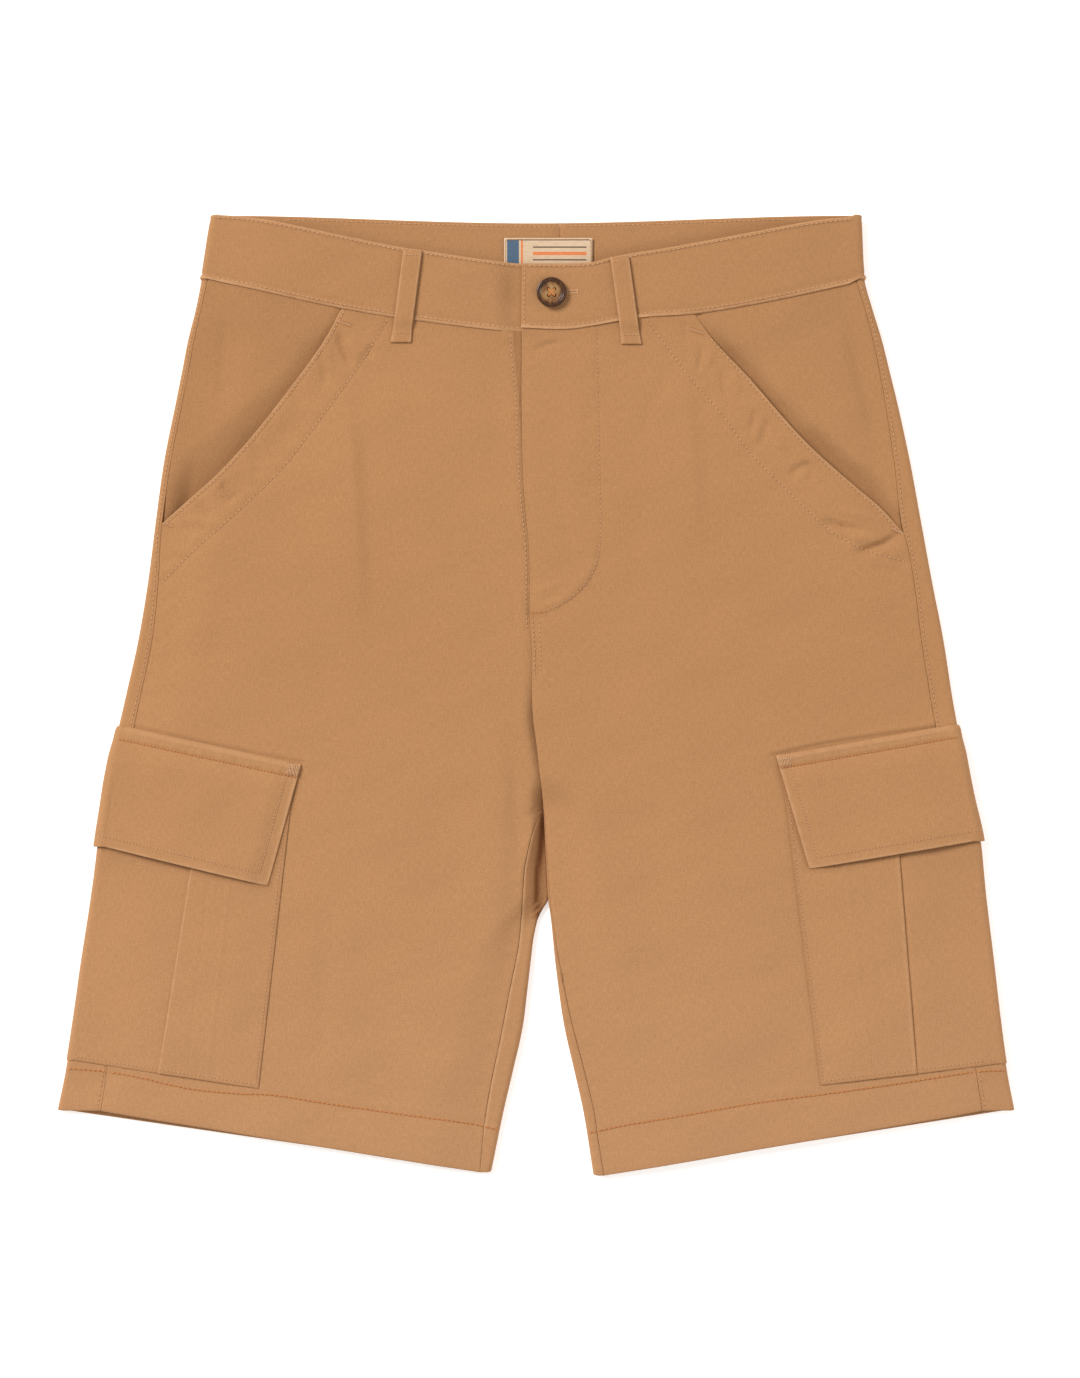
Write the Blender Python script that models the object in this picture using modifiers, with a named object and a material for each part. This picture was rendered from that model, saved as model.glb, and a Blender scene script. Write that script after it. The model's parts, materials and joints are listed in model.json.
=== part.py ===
"""Cargo shorts, laid flat on a surface with the front up.

Every size below is in millimetres; the meshes are made in metres. +X is the wearer's left, +Y points
to the waist, +Z is up, and the origin lies on the resting plane under the middle of the garment.
The cloth is a flattened tube: a back layer on the resting plane, a front layer above it, and rounded
folds at the sides and down the inside of each leg. Each cut piece is an open surface on that tube,
given its thickness by Solidify.
"""

import math
from typing import NamedTuple

import bmesh
import bpy
import numpy as np

MM = 0.001
COLLECTION = "cargo_shorts"

# Cloth and trim thicknesses, and the clearance between neighbouring pieces
PANEL_WALL = 1.2
HEM_WALL = 2.2
BAND_WALL = 2.2
PATCH_WALL = 1.0
LOOP_WALL = 1.8
LABEL_WALL = 1.0
GAP = 0.3
SEAM_GAP = 0.36

# Rounded folds of the flattened tube
FOLD_RADIUS = 3.3
FOLD_STEPS = 5
SHOULDER_WIDTH = 42.0
VALLEY_TOP_Y = 24.0

# Waistband
BAND_HEIGHT = 39.0
BAND_PROUD = 0.5
UNDERLAP_END_X = 36.0
BAND_LIFT = LOOP_WALL + GAP
BAND_LIFT_REACH = 21.0
BAND_LIFT_FADE = 38.0
BAND_COLUMNS = (0.0, 0.12, 0.2, 0.27, 0.34, 0.42, 0.55, 0.7, 0.85, 1.0)
BAND_BACK_COLUMNS = (0.0, 0.25, 0.5, 0.75, 1.0)
BAND_SIDE_SEAM_Y = 250.0
BAND_FRONT_TOP_Y = 288.0
BACK_TOP_Y = 288.8
BACK_SAG = 4.6
BACK_WIDTH = 390.0
UNDERLAP_DIP_X = -24.0
UNDERLAP_DIP_WIDTH = 11.0

# Cargo pocket and flap: how far each wraps under the leg, and the pleat's depth
CARGO_WRAP = 27.0
CARGO_MARGIN = 30.0
CARGO_FADE = 22.0
PLEAT_DEPTH = 12.0
POCKET_OFFSET = GAP + PATCH_WALL / 2
FLAP_OFFSET = POCKET_OFFSET + PATCH_WALL + 2 * GAP
PLEAT_MIDDLE_OFFSET = POCKET_OFFSET + PATCH_WALL + GAP
PLEAT_TOP_OFFSET = POCKET_OFFSET + 2 * (PATCH_WALL + GAP)
PLEAT_TOP_EASE = 0.6
FLAP_PEAK_OFFSET = PLEAT_TOP_OFFSET + PATCH_WALL + GAP
FLAP_ROWS = ((0.0, 0.0), (0.1, 1.0), (0.34, 1.0), (0.67, 1.0), (1.0, 1.0))
POCKET_STEPS = 7

# Hip pocket facing
FACING_DROP = PANEL_WALL + GAP
FACING_RECESS = 1.0
FACING_UNDERLAP = 36.0
FACING_SEAM_BLEND = 26.0
FACING_FOOT = 26.0
FACING_OUTER_BLEND = 16.0
FACING_ROW_DROP = 10.0
FACING_COLUMNS = 5

# Fly
FLY_SHIELD_X = (-18.0, 37.0)
FLY_SHIELD_Y = (52.0, 213.0)
ZIP_X = (-14.0, 20.0)
ZIP_Y = (66.0, 213.0)
ZIP_WALL = 1.0
FLY_CLEARANCE = 0.9

# Button
BUTTON_X = 9.3
BUTTON_Y = 241.3
BUTTON_RADIUS = 8.9
BUTTON_THICKNESS = 3.4
BUTTON_RIM = 2.3
BUTTON_RIM_DROP = 0.35
BUTTON_EDGE_ROUND = 0.5
BUTTON_DISH = 1.1
BUTTON_HOLE_RADIUS = 0.95
BUTTON_HOLE_SPACING = 3.4
BUTTON_TURN_STEPS = 28

# Label
LABEL_X = (-19.2, 33.9)
LABEL_Y = (249.0, 275.1)

CROTCH_Y = -69.9
CROTCH_FOLD_START = 12.0
FRONT_COLUMNS = 9
BOTTOM_COLUMNS = 7
LEFT_MOUTH_DROP = 4.0


class SideRow(NamedTuple):
    """The outer folds and the outseams at one height."""

    y: float
    right_edge: float
    right_seam: float
    left_seam: float
    left_edge: float


SIDES = (
    SideRow(289.0, -194.4, -189.4, 190.0, 195.0),
    SideRow(250.0, -201.0, -196.0, 192.2, 197.4),
    SideRow(213.0, -209.4, -204.4, 201.6, 208.2),
    SideRow(177.0, -216.6, -211.4, 209.7, 217.2),
    SideRow(141.0, -223.8, -218.8, 215.4, 225.0),
    SideRow(105.0, -228.6, -223.6, 220.0, 231.6),
    SideRow(69.0, -233.4, -226.5, 227.1, 238.2),
    SideRow(33.0, -239.4, -230.4, 231.9, 245.4),
    SideRow(-3.0, -247.2, -238.2, 237.3, 250.8),
    SideRow(-51.0, -257.6, -247.0, 246.0, 259.4),
    SideRow(-87.0, -262.6, -249.0, 251.5, 266.8),
    SideRow(-159.0, -272.9, -253.5, 257.0, 274.7),
    SideRow(-222.0, -282.2, -257.4, 264.0, 282.6),
    SideRow(-250.0, -288.0, -261.6, 267.6, 288.0),
)


class InnerRow(NamedTuple):
    """The inside folds of the legs and the inseams at one height, with the radius of the fold."""

    y: float
    right_seam: float
    right_edge: float
    left_edge: float
    left_seam: float
    radius: float


INNER = (
    InnerRow(-69.9, 1.2, 3.7, 4.4, 6.9, 1.9),
    InnerRow(-92.0, -3.0, 4.0, 5.5, 10.0, 2.6),
    InnerRow(-126.0, -7.5, 3.9, 7.4, 12.0, 3.2),
    InnerRow(-135.0, -8.4, 0.6, 9.0, 13.6, 3.3),
    InnerRow(-159.0, -11.7, -3.0, 11.4, 16.0, 3.3),
    InnerRow(-195.0, -19.5, -7.2, 16.2, 22.5, 3.3),
    InnerRow(-231.0, -26.7, -15.0, 24.0, 30.8, 3.3),
    InnerRow(-249.0, -29.7, -19.2, 28.2, 35.1, 3.3),
    InnerRow(-289.0, -34.4, -27.4, 34.6, 41.0, 3.3),
)


class CentreRow(NamedTuple):
    """The front edges of the two fronts, and the back seam, above the crotch."""

    y: float
    right_front: float
    left_front: float
    back_seam: float


CENTRE = (
    CentreRow(290.0, -13.6, -8.4, 14.4),
    CentreRow(217.5, -13.6, -8.4, 13.0),
    CentreRow(177.0, -10.4, -8.6, 11.6),
    CentreRow(129.0, -8.2, -7.5, 9.8),
    CentreRow(82.0, -4.0, -3.6, 7.8),
    CentreRow(49.0, -4.0, -3.6, 6.8),
    CentreRow(27.0, -1.6, -1.2, 6.0),
    CentreRow(8.0, -1.8, -1.4, 5.4),
    CentreRow(-29.0, 1.2, 1.6, 4.6),
    CentreRow(CROTCH_Y, 3.7, 4.4, 4.05),
)


class HeightRow(NamedTuple):
    """How high the outer face of the front layer stands, and how far the side folds are lifted."""

    y: float
    front: float
    cargo_lift: float


HEIGHTS = (
    HeightRow(289.0, 12.0, 0.0),
    HeightRow(217.0, 11.6, 0.0),
    HeightRow(105.0, 11.0, 0.0),
    HeightRow(0.0, 10.4, 0.0),
    HeightRow(-16.0, 10.3, 1.5),
    HeightRow(-31.0, 10.2, 3.0),
    HeightRow(-92.0, 9.8, 3.0),
    HeightRow(-104.0, 9.7, 1.5),
    HeightRow(-222.0, 9.4, 1.5),
    HeightRow(-234.0, 9.4, 0.0),
    HeightRow(-289.0, 9.4, 0.0),
)


class WaistPoint(NamedTuple):
    """The front waistband's edges at one place across the front."""

    x: float
    top: float
    seam: float


RIGHT_WAIST = (
    WaistPoint(-201.0, 289.0, 250.6),
    WaistPoint(-189.0, 288.4, 248.2),
    WaistPoint(-172.0, 286.9, 244.2),
    WaistPoint(-117.0, 276.0, 232.2),
    WaistPoint(-74.0, 267.6, 225.3),
    WaistPoint(-9.6, 259.2, 218.1),
    WaistPoint(40.0, 259.2, 218.1),
)
LEFT_WAIST = (
    WaistPoint(-10.0, 259.2, 220.4),
    WaistPoint(34.0, 259.6, 220.8),
    WaistPoint(50.0, 263.6, 224.4),
    WaistPoint(97.0, 271.8, 229.2),
    WaistPoint(143.0, 280.1, 237.0),
    WaistPoint(175.0, 285.9, 244.2),
    WaistPoint(189.0, 287.0, 247.8),
    WaistPoint(201.0, 287.4, 249.8),
)


class MouthPoint(NamedTuple):
    """A point on a slanted hip pocket's mouth."""

    y: float
    right_x: float
    left_x: float


MOUTH = (
    MouthPoint(231.4, -116.6, 95.4),
    MouthPoint(212.0, -127.1, 108.8),
    MouthPoint(187.0, -145.2, 130.8),
    MouthPoint(153.0, -172.0, 161.0),
    MouthPoint(133.0, -190.8, 182.4),
    MouthPoint(118.0, -207.6, 200.6),
    MouthPoint(104.0, -223.9, 214.2),
    MouthPoint(98.0, -224.0, 220.4),
)


class LegRow(NamedTuple):
    """A section of both legs, from the inside fold to the outer fold; doubled marks the turned hem."""

    right_inner_y: float
    left_inner_y: float
    outer_y: float
    doubled: bool

    def inner_y(self, side):
        return self.right_inner_y if side == "right" else self.left_inner_y


LEG_ROWS = (
    LegRow(CROTCH_Y, CROTCH_Y, -62.0, False),
    LegRow(-92.0, -92.0, -80.0, False),
    LegRow(-110.0, -110.0, -96.0, False),
    LegRow(-126.0, -126.0, -110.0, False),
    LegRow(-150.0, -150.0, -131.0, False),
    LegRow(-180.0, -180.0, -156.0, False),
    LegRow(-212.0, -212.0, -184.0, False),
    LegRow(-238.0, -239.0, -206.0, False),
    LegRow(-257.5, -259.5, -221.2, False),
    LegRow(-259.5, -261.5, -223.0, True),
    LegRow(-286.4, -288.8, -249.3, True),
)


class HipRow(NamedTuple):
    """A section above the crotch: its height at the front edge, at the outseam and at the back seam."""

    front_y: float
    side_y: float
    back_y: float


HIP_ROWS = (
    HipRow(219.0, 249.0, 245.0),
    HipRow(200.0, 228.0, 226.0),
    HipRow(178.0, 203.0, 203.0),
    HipRow(156.0, 178.0, 178.0),
    HipRow(132.0, 152.0, 152.0),
    HipRow(112.0, 127.0, 127.0),
    HipRow(98.0, 104.0, 103.0),
    HipRow(76.0, 78.0, 78.0),
    HipRow(49.0, 49.0, 49.0),
    HipRow(22.0, 22.0, 20.0),
    HipRow(-6.0, -6.0, -8.0),
    HipRow(-36.0, -34.0, -38.0),
)
MOUTH_ROWS = 6


class Crease(NamedTuple):
    """A soft trough (negative depth) or ridge in the front layer, between two points."""

    x0: float
    y0: float
    x1: float
    y1: float
    width: float
    depth: float


CREASES = (
    Crease(-108.0, 196.0, -112.0, 70.0, 13.0, -1.3),
    Crease(88.0, 190.0, 92.0, 96.0, 12.0, -0.9),
    Crease(-28.0, 210.0, -16.0, 96.0, 10.0, -0.7),
    Crease(-10.0, 20.0, -24.0, -110.0, 13.0, -1.4),
    Crease(22.0, -20.0, 24.0, -120.0, 14.0, 0.8),
    Crease(-128.0, -60.0, -150.0, -210.0, 15.0, -0.7),
    Crease(120.0, -60.0, 136.0, -200.0, 16.0, -0.6),
)


class Cargo(NamedTuple):
    """One cargo pocket and its flap. Each pair is (x, y) on the front layer, or a height at the side."""

    flap_top: tuple
    flap_top_side_y: float
    flap_bottom: tuple
    flap_bottom_side_y: float
    pocket_top: tuple
    pocket_top_side_y: float
    pocket_bottom: tuple
    pocket_bottom_side_y: float
    pleat_top_x: float
    pleat_bottom_x: float


CARGO = {
    "right": Cargo(
        flap_top=(-140.4, -38.1),
        flap_top_side_y=-17.6,
        flap_bottom=(-160.8, -112.5),
        flap_bottom_side_y=-89.7,
        pocket_top=(-144.6, -50.0),
        pocket_top_side_y=-31.0,
        pocket_bottom=(-166.4, -235.4),
        pocket_bottom_side_y=-219.6,
        pleat_top_x=-196.8,
        pleat_bottom_x=-226.4,
    ),
    "left": Cargo(
        flap_top=(143.4, -36.4),
        flap_top_side_y=-17.8,
        flap_bottom=(163.8, -102.9),
        flap_bottom_side_y=-87.3,
        pocket_top=(147.6, -48.0),
        pocket_top_side_y=-31.0,
        pocket_bottom=(170.4, -233.6),
        pocket_bottom_side_y=-221.4,
        pleat_top_x=211.0,
        pleat_bottom_x=228.0,
    ),
}

SIGN = {"right": -1.0, "left": 1.0}


class LoopPlace(NamedTuple):
    """A belt loop's middle line, from its upper end to its lower end, on the front or the back."""

    name: str
    top_x: float
    top_y: float
    bottom_x: float
    bottom_y: float
    on_back: bool


LOOP_WIDTH = 11.4
LOOPS = (
    LoopPlace("belt_loop_front_right", -73.8, 265.6, -81.4, 211.2, False),
    LoopPlace("belt_loop_front_left", 49.8, 261.8, 57.2, 210.2, False),
    LoopPlace("belt_loop_back_right", -112.0, 284.0, -114.0, 229.6, True),
    LoopPlace("belt_loop_back_centre", 14.0, 282.6, 13.6, 228.4, True),
    LoopPlace("belt_loop_back_left", 126.0, 284.0, 128.0, 229.6, True),
)


def column(table, name, at):
    """The named column of a table at this height, read in straight lines between its rows."""
    rows = sorted(table, key=lambda row: row[0])
    return float(np.interp(at, [row[0] for row in rows], [getattr(row, name) for row in rows]))


def smooth(value):
    """0 below 0, 1 above 1, and a smooth step between."""
    t = min(max(value, 0.0), 1.0)
    return t * t * (3.0 - 2.0 * t)


def mix(a, b, t):
    """The value a share t of the way from a to b."""
    return a + (b - a) * t


def outer_edge(side, y):
    return column(SIDES, side + "_edge", y)


def outseam(side, y):
    return column(SIDES, side + "_seam", y)


def inner_edge(side, y):
    return column(INNER, side + "_edge", y)


def inseam(side, y):
    return column(INNER, side + "_seam", y)


def waist_table(side):
    return RIGHT_WAIST if side == "right" else LEFT_WAIST


def back_top(x):
    """The back waistband's upper edge, which sags a little between the side folds."""
    return BACK_TOP_Y - BACK_SAG * math.cos(math.pi * min(abs(x) / BACK_WIDTH, 0.5)) ** 2


def underside(x, y):
    """How high the back layer's outer face stands: on the plane, but lifted over what lies under it."""
    side = "right" if x < 0 else "left"
    inset = abs(outer_edge(side, y) - x)
    faded = smooth((inset - CARGO_WRAP - CARGO_MARGIN) / CARGO_FADE)
    lift = column(HEIGHTS, "cargo_lift", y) * (1.0 - faded)
    below_band = back_top(x) - BAND_HEIGHT - y
    band_lift = BAND_LIFT * (1.0 - smooth((below_band - BAND_LIFT_REACH) / BAND_LIFT_FADE))
    return max(lift, band_lift)


def rolled(inset, radius, low, high):
    """The height of a layer that comes over a fold and rises to its full height behind it."""
    shoulder = low + 2.0 * radius
    if inset < radius:
        return low + radius + math.sqrt(max(radius**2 - (radius - inset) ** 2, 0.0))
    return mix(shoulder, high, smooth((inset - radius) / SHOULDER_WIDTH))


def crease_height(x, y):
    total = 0.0
    for crease in CREASES:
        along_x, along_y = crease.x1 - crease.x0, crease.y1 - crease.y0
        length = math.hypot(along_x, along_y)
        t = ((x - crease.x0) * along_x + (y - crease.y0) * along_y) / length**2
        across = ((x - crease.x0) * along_y - (y - crease.y0) * along_x) / length
        ends = smooth(t / 0.3) * smooth((1.0 - t) / 0.3)
        total += crease.depth * ends * math.exp(-((across / crease.width) ** 2))
    return total


def front_height(side, x, y):
    """How high the front layer's outer face stands on this side of the garment."""
    edge = outer_edge(side, y)
    low = underside(edge, y)
    high = column(HEIGHTS, "front", y) + crease_height(x, y)
    outer = rolled(abs(edge - x), FOLD_RADIUS, low, high)
    valley = smooth((VALLEY_TOP_Y - y) / (VALLEY_TOP_Y - CROTCH_Y))
    if valley == 0.0:
        return outer
    radius = column(INNER, "radius", y)
    middle = inner_edge(side, y) if y <= CROTCH_Y else column(CENTRE, side + "_front", y)
    inner = rolled(max(SIGN[side] * (x - middle), 0.0), radius, 0.0, high)
    return min(outer, mix(high, inner, valley))


def fold_point(x, y, low, radius, outward, angle, offset):
    """A point on a rounded fold: angle is 90 degrees on top, 0 at the side and -90 underneath."""
    reach = radius + offset
    return (
        x - outward * radius + outward * reach * math.cos(math.radians(angle)),
        y,
        low + radius + reach * math.sin(math.radians(angle)),
    )


def fold_angles(start=90.0):
    return [mix(start, -90.0, step / FOLD_STEPS) for step in range(FOLD_STEPS + 1)]


def material(name, colour, roughness, metallic=0.0):
    made = bpy.data.materials.new(name)
    made.use_nodes = True
    shader = made.node_tree.nodes["Principled BSDF"]
    shader.inputs["Base Color"].default_value = (*colour, 1.0)
    shader.inputs["Roughness"].default_value = roughness
    shader.inputs["Metallic"].default_value = metallic
    return made


def link(obj, collection, finish):
    obj.data.materials.append(finish)
    collection.objects.link(obj)
    return obj


def cloth(name, rows, wall, finish, collection, doubled_rows=(), doubled_wall=None, centred=False):
    """A cut piece from rows of points in millimetres, all listed the same way round.

    A row may hold None where the piece has no cloth. Rows in doubled_rows get doubled_wall.
    """
    mesh = bpy.data.meshes.new(name)
    piece = bmesh.new()
    grid = [
        [None if point is None else piece.verts.new([c * MM for c in point]) for point in row]
        for row in rows
    ]
    for upper, lower in zip(grid, grid[1:]):
        for a, b, c, d in zip(upper, upper[1:], lower[1:], lower):
            if None not in (a, b, c, d):
                piece.faces.new((a, d, c, b))
    loose = [vert for vert in piece.verts if not vert.link_faces]
    bmesh.ops.delete(piece, geom=loose, context="VERTS")
    piece.verts.index_update()
    doubled = [v.index for r in doubled_rows for v in grid[r] if v is not None and v.is_valid]
    piece.to_mesh(mesh)
    piece.free()
    obj = bpy.data.objects.new(name, mesh)
    solidify = obj.modifiers.new("wall", "SOLIDIFY")
    solidify.thickness = (doubled_wall or wall) * MM
    solidify.offset = 0.0 if centred else -1.0
    solidify.use_even_offset = True
    if doubled_wall:
        group = obj.vertex_groups.new(name="doubled")
        group.add(doubled, 1.0, "REPLACE")
        solidify.vertex_group = group.name
        solidify.thickness_vertex_group = wall / doubled_wall
    return link(obj, collection, finish)


def spread(count, ends=1.5):
    """Fractions from 0 to 1, closer together near both ends."""
    values = []
    for step in range(count + 1):
        t = step / count
        values.append(mix(t, smooth(t), ends - 1.0))
    return values


def facing_out(side, rows, starts_on_top=True):
    """The same rows, turned where needed so that the faces of both sides point out of the tube."""
    turned = (side == "right") == starts_on_top
    return [row[::-1] for row in rows] if turned else rows


def front_rows(side):
    """Rows of a front, from its front edge or inseam to the pocket's mouth or the outseam."""
    sign = SIGN[side]
    rows = []
    for index, row in enumerate(HIP_ROWS):
        middle = column(CENTRE, side + "_front", row.front_y)
        if index < MOUTH_ROWS:
            t = index / MOUTH_ROWS
            outer_y = mix(MOUTH[0].y, MOUTH[-2].y if side == "right" else MOUTH[-1].y, t)
            outer_x = column(MOUTH, side + "_x", outer_y)
        elif index == MOUTH_ROWS:
            outer_y = row.side_y if side == "right" else row.side_y - LEFT_MOUTH_DROP
            outer_x = outseam(side, outer_y) - sign * SEAM_GAP / 2
        else:
            outer_y = row.side_y
            outer_x = outseam(side, outer_y) - sign * SEAM_GAP / 2
        rows.append(front_row(side, middle, row.front_y, outer_x, outer_y, index == 0))
    for index, row in enumerate(LEG_ROWS):
        inner_y = row.inner_y(side)
        inner_x = inseam(side, inner_y) + sign * SEAM_GAP / 2
        if index == 0:
            inner_x = column(CENTRE, side + "_front", CROTCH_Y) + sign * GAP
        outer_x = outseam(side, row.outer_y) - sign * SEAM_GAP / 2
        rows.append(front_row(side, inner_x, inner_y, outer_x, row.outer_y, False))
    return rows


def front_row(side, inner_x, inner_y, outer_x, outer_y, at_waist):
    points = []
    for t in spread(FRONT_COLUMNS):
        x = mix(inner_x, outer_x, t)
        y = mix(inner_y, outer_y, t)
        if at_waist:
            y = column(waist_table(side), "seam", x) - GAP
        points.append((x, y, front_height(side, x, y)))
    return points


def back_rows(side):
    """Rows of a back: inseam, inside fold, the layer on the plane, outer fold, outseam."""
    sign = SIGN[side]
    rows = []
    for index, row in enumerate(HIP_ROWS):
        seam_x = column(CENTRE, "back_seam", row.back_y) + sign * SEAM_GAP / 2
        start = (seam_x, row.back_y)
        layer = bottom_layer(side, start, row.side_y)
        if index == 0:
            layer = [(x, min(y, back_top(x) - BAND_HEIGHT - GAP), z) for x, y, z in layer]
        rows.append([None] * (FOLD_STEPS + 1) + layer)
    for index, row in enumerate(LEG_ROWS):
        inner_y = row.inner_y(side)
        radius = column(INNER, "radius", inner_y)
        edge_x = inner_edge(side, inner_y)
        start_angle = 90.0 if index else CROTCH_FOLD_START
        steps = FOLD_STEPS + (0 if index else 1)
        angles = [mix(start_angle, -90.0, step / steps) for step in range(steps + 1)]
        fold = [fold_point(edge_x, inner_y, 0.0, radius, -sign, angle, 0.0) for angle in angles[:-1]]
        if index:
            seam_x = inseam(side, inner_y) - sign * SEAM_GAP / 2
            fold.insert(0, (seam_x, inner_y, front_height(side, seam_x, inner_y)))
        rows.append(fold + bottom_layer(side, (edge_x + sign * radius, inner_y), row.outer_y))
    return rows


def bottom_layer(side, start, outer_y):
    """Points of the back layer from its inner end to the outer fold, over the fold, to the outseam."""
    sign = SIGN[side]
    end = (outer_edge(side, outer_y) - sign * FOLD_RADIUS, outer_y)
    points = []
    for t in spread(BOTTOM_COLUMNS, 1.8)[:-1]:
        x, y = mix(start[0], end[0], t), mix(start[1], end[1], t)
        points.append((x, y, underside(x, y)))
    return points + over_outer_fold(side, outer_y)


def over_outer_fold(side, y):
    """Points of the outer fold from the plane to the top, then the outseam."""
    sign = SIGN[side]
    edge_x = outer_edge(side, y)
    low = underside(edge_x, y)
    fold = [fold_point(edge_x, y, low, FOLD_RADIUS, sign, a, 0.0) for a in fold_angles()[::-1]]
    seam_x = outseam(side, y) + sign * SEAM_GAP / 2
    return fold + [(seam_x, y, front_height(side, seam_x, y))]


def facing_rows(side):
    """Rows of a hip pocket facing, from under the front to the outseam."""
    sign = SIGN[side]
    last_y = MOUTH[-1].y - FACING_FOOT
    heights = [row.side_y for row in HIP_ROWS[:MOUTH_ROWS + 1]] + [last_y]
    rows = []
    for index, side_y in enumerate(heights):
        outer_x = outseam(side, side_y) - sign * SEAM_GAP / 2
        mouth_x = column(MOUTH, side + "_x", side_y)
        inner_x = mouth_x - sign * FACING_UNDERLAP
        rows.append([])
        for t in spread(FACING_COLUMNS):
            x = mix(inner_x, outer_x, t)
            under_band = column(waist_table(side), "seam", x) - 3 * GAP
            y = min(side_y, under_band - FACING_ROW_DROP * index)
            from_seam = abs(outer_x - x)
            at_seam = FACING_DROP * smooth((MOUTH[-2].y + FACING_SEAM_BLEND - y) / FACING_SEAM_BLEND)
            deep = FACING_DROP + FACING_RECESS
            drop = mix(at_seam, deep, smooth(from_seam / FACING_OUTER_BLEND))
            rows[-1].append((x, y, front_height(side, x, y) - drop))
    return rows


def band_height(side, x, y):
    """The outer face of the front waistband; the right one dips under the left one's end."""
    height = front_height(side, x, min(y, BAND_FRONT_TOP_Y)) + BAND_PROUD
    if side == "right":
        height -= (BAND_WALL + GAP) * smooth((x - UNDERLAP_DIP_X) / UNDERLAP_DIP_WIDTH)
    return height


def band_rows(side):
    """Rows of a waistband half: from its front end, round the side fold, to the back seam."""
    sign = SIGN[side]
    end_x = UNDERLAP_END_X if side == "right" else LEFT_WAIST[0].x + 1.4
    shoulder_x = outer_edge(side, 270.0) - sign * (FOLD_RADIUS + 6.0)
    rows = []
    for height in (1.0, 0.5, 0.0):
        points = []
        for t in BAND_COLUMNS:
            x = mix(end_x, shoulder_x, t)
            low = column(waist_table(side), "seam", x) + GAP / 2
            y = mix(low, column(waist_table(side), "top", x), height)
            points.append((x, y, band_height(side, x, y)))
        y = mix(BAND_SIDE_SEAM_Y + GAP / 2, BACK_TOP_Y, height)
        edge_x = outer_edge(side, y)
        for angle in fold_angles():
            points.append(fold_point(edge_x, y, BAND_LIFT, FOLD_RADIUS, sign, angle, BAND_PROUD))
        seam_x = column(CENTRE, "back_seam", 260.0) + sign * SEAM_GAP / 2
        back_x = edge_x - sign * (FOLD_RADIUS + 4.0)
        for t in BAND_BACK_COLUMNS:
            x = mix(back_x, seam_x, t)
            y_here = back_top(x) - BAND_HEIGHT * (1.0 - height) + (1.0 - height) * GAP / 2
            points.append((x, y_here, BAND_LIFT))
        rows.append(points)
    return rows


def wrapped_row(side, front, side_y, stations):
    """Points of one row of a patch round the leg, from stations on top to its end underneath.

    stations are (share of the way from the front edge to the fold, offset from the leg).
    """
    sign = SIGN[side]
    edge_x = outer_edge(side, side_y)
    shoulder_x = edge_x - sign * (FOLD_RADIUS + 2.0)
    points = []
    for t, offset in stations:
        x, y = mix(front[0], shoulder_x, t), mix(front[1], side_y, t)
        points.append((x, y, front_height(side, x, y) + offset))
    last = stations[-1][1]
    low = underside(edge_x, side_y)
    for angle in fold_angles():
        points.append(fold_point(edge_x, side_y, low, FOLD_RADIUS, sign, angle, last))
    for reach in (0.5, 1.0):
        x = edge_x - sign * mix(FOLD_RADIUS, CARGO_WRAP, reach)
        points.append((x, side_y, underside(x, side_y) - last))
    return points


def pocket_rows(side):
    """Rows of a cargo pocket, with its pleat folded under as it is on the leg."""
    plan = CARGO[side]
    sign = SIGN[side]
    rows = []
    for step in range(POCKET_STEPS + 1):
        t = step / POCKET_STEPS
        front = (mix(plan.pocket_top[0], plan.pocket_bottom[0], t),
                 mix(plan.pocket_top[1], plan.pocket_bottom[1], t))
        side_y = mix(plan.pocket_top_side_y, plan.pocket_bottom_side_y, t)
        shoulder_x = outer_edge(side, side_y) - sign * (FOLD_RADIUS + 2.0)
        pleat = (mix(plan.pleat_top_x, plan.pleat_bottom_x, t) - front[0]) / (shoulder_x - front[0])
        back = pleat - PLEAT_DEPTH / abs(shoulder_x - front[0])
        stations = (
            (0.0, POCKET_OFFSET),
            (0.25 * back, PLEAT_TOP_OFFSET - PLEAT_TOP_EASE),
            (0.6 * back, PLEAT_TOP_OFFSET),
            (pleat, PLEAT_TOP_OFFSET),
            (pleat, PLEAT_MIDDLE_OFFSET),
            (back, PLEAT_MIDDLE_OFFSET),
            (back, POCKET_OFFSET),
            (pleat, POCKET_OFFSET),
            (mix(pleat, 1.0, 0.5), POCKET_OFFSET),
            (1.0, POCKET_OFFSET),
        )
        rows.append(wrapped_row(side, front, side_y, stations))
    return rows


def flap_rows(side):
    """Rows of a cargo flap, from its seam on the leg to its free edge over the pocket."""
    plan = CARGO[side]
    rows = []
    for t, rise in FLAP_ROWS:
        front = (mix(plan.flap_top[0], plan.flap_bottom[0], t),
                 mix(plan.flap_top[1], plan.flap_bottom[1], t))
        side_y = mix(plan.flap_top_side_y, plan.flap_bottom_side_y, t)
        low = mix(POCKET_OFFSET, FLAP_OFFSET, rise)
        peak = mix(POCKET_OFFSET, FLAP_PEAK_OFFSET, rise)
        stations = ((0.0, mix(low, peak, 0.6)), (0.1, peak), (0.4, peak), (0.72, peak), (1.0, low))
        rows.append(wrapped_row(side, front, side_y, stations))
    return rows


def strip_rows(xs, ys, height_at):
    return [[(x, y, height_at(x, y)) for x in xs] for y in ys]


def under_left_front(drop):
    """The middle height of a flat piece this far under the left front's outer face."""
    return lambda x, y: front_height("left", max(x, 0.0), y) - drop


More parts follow.
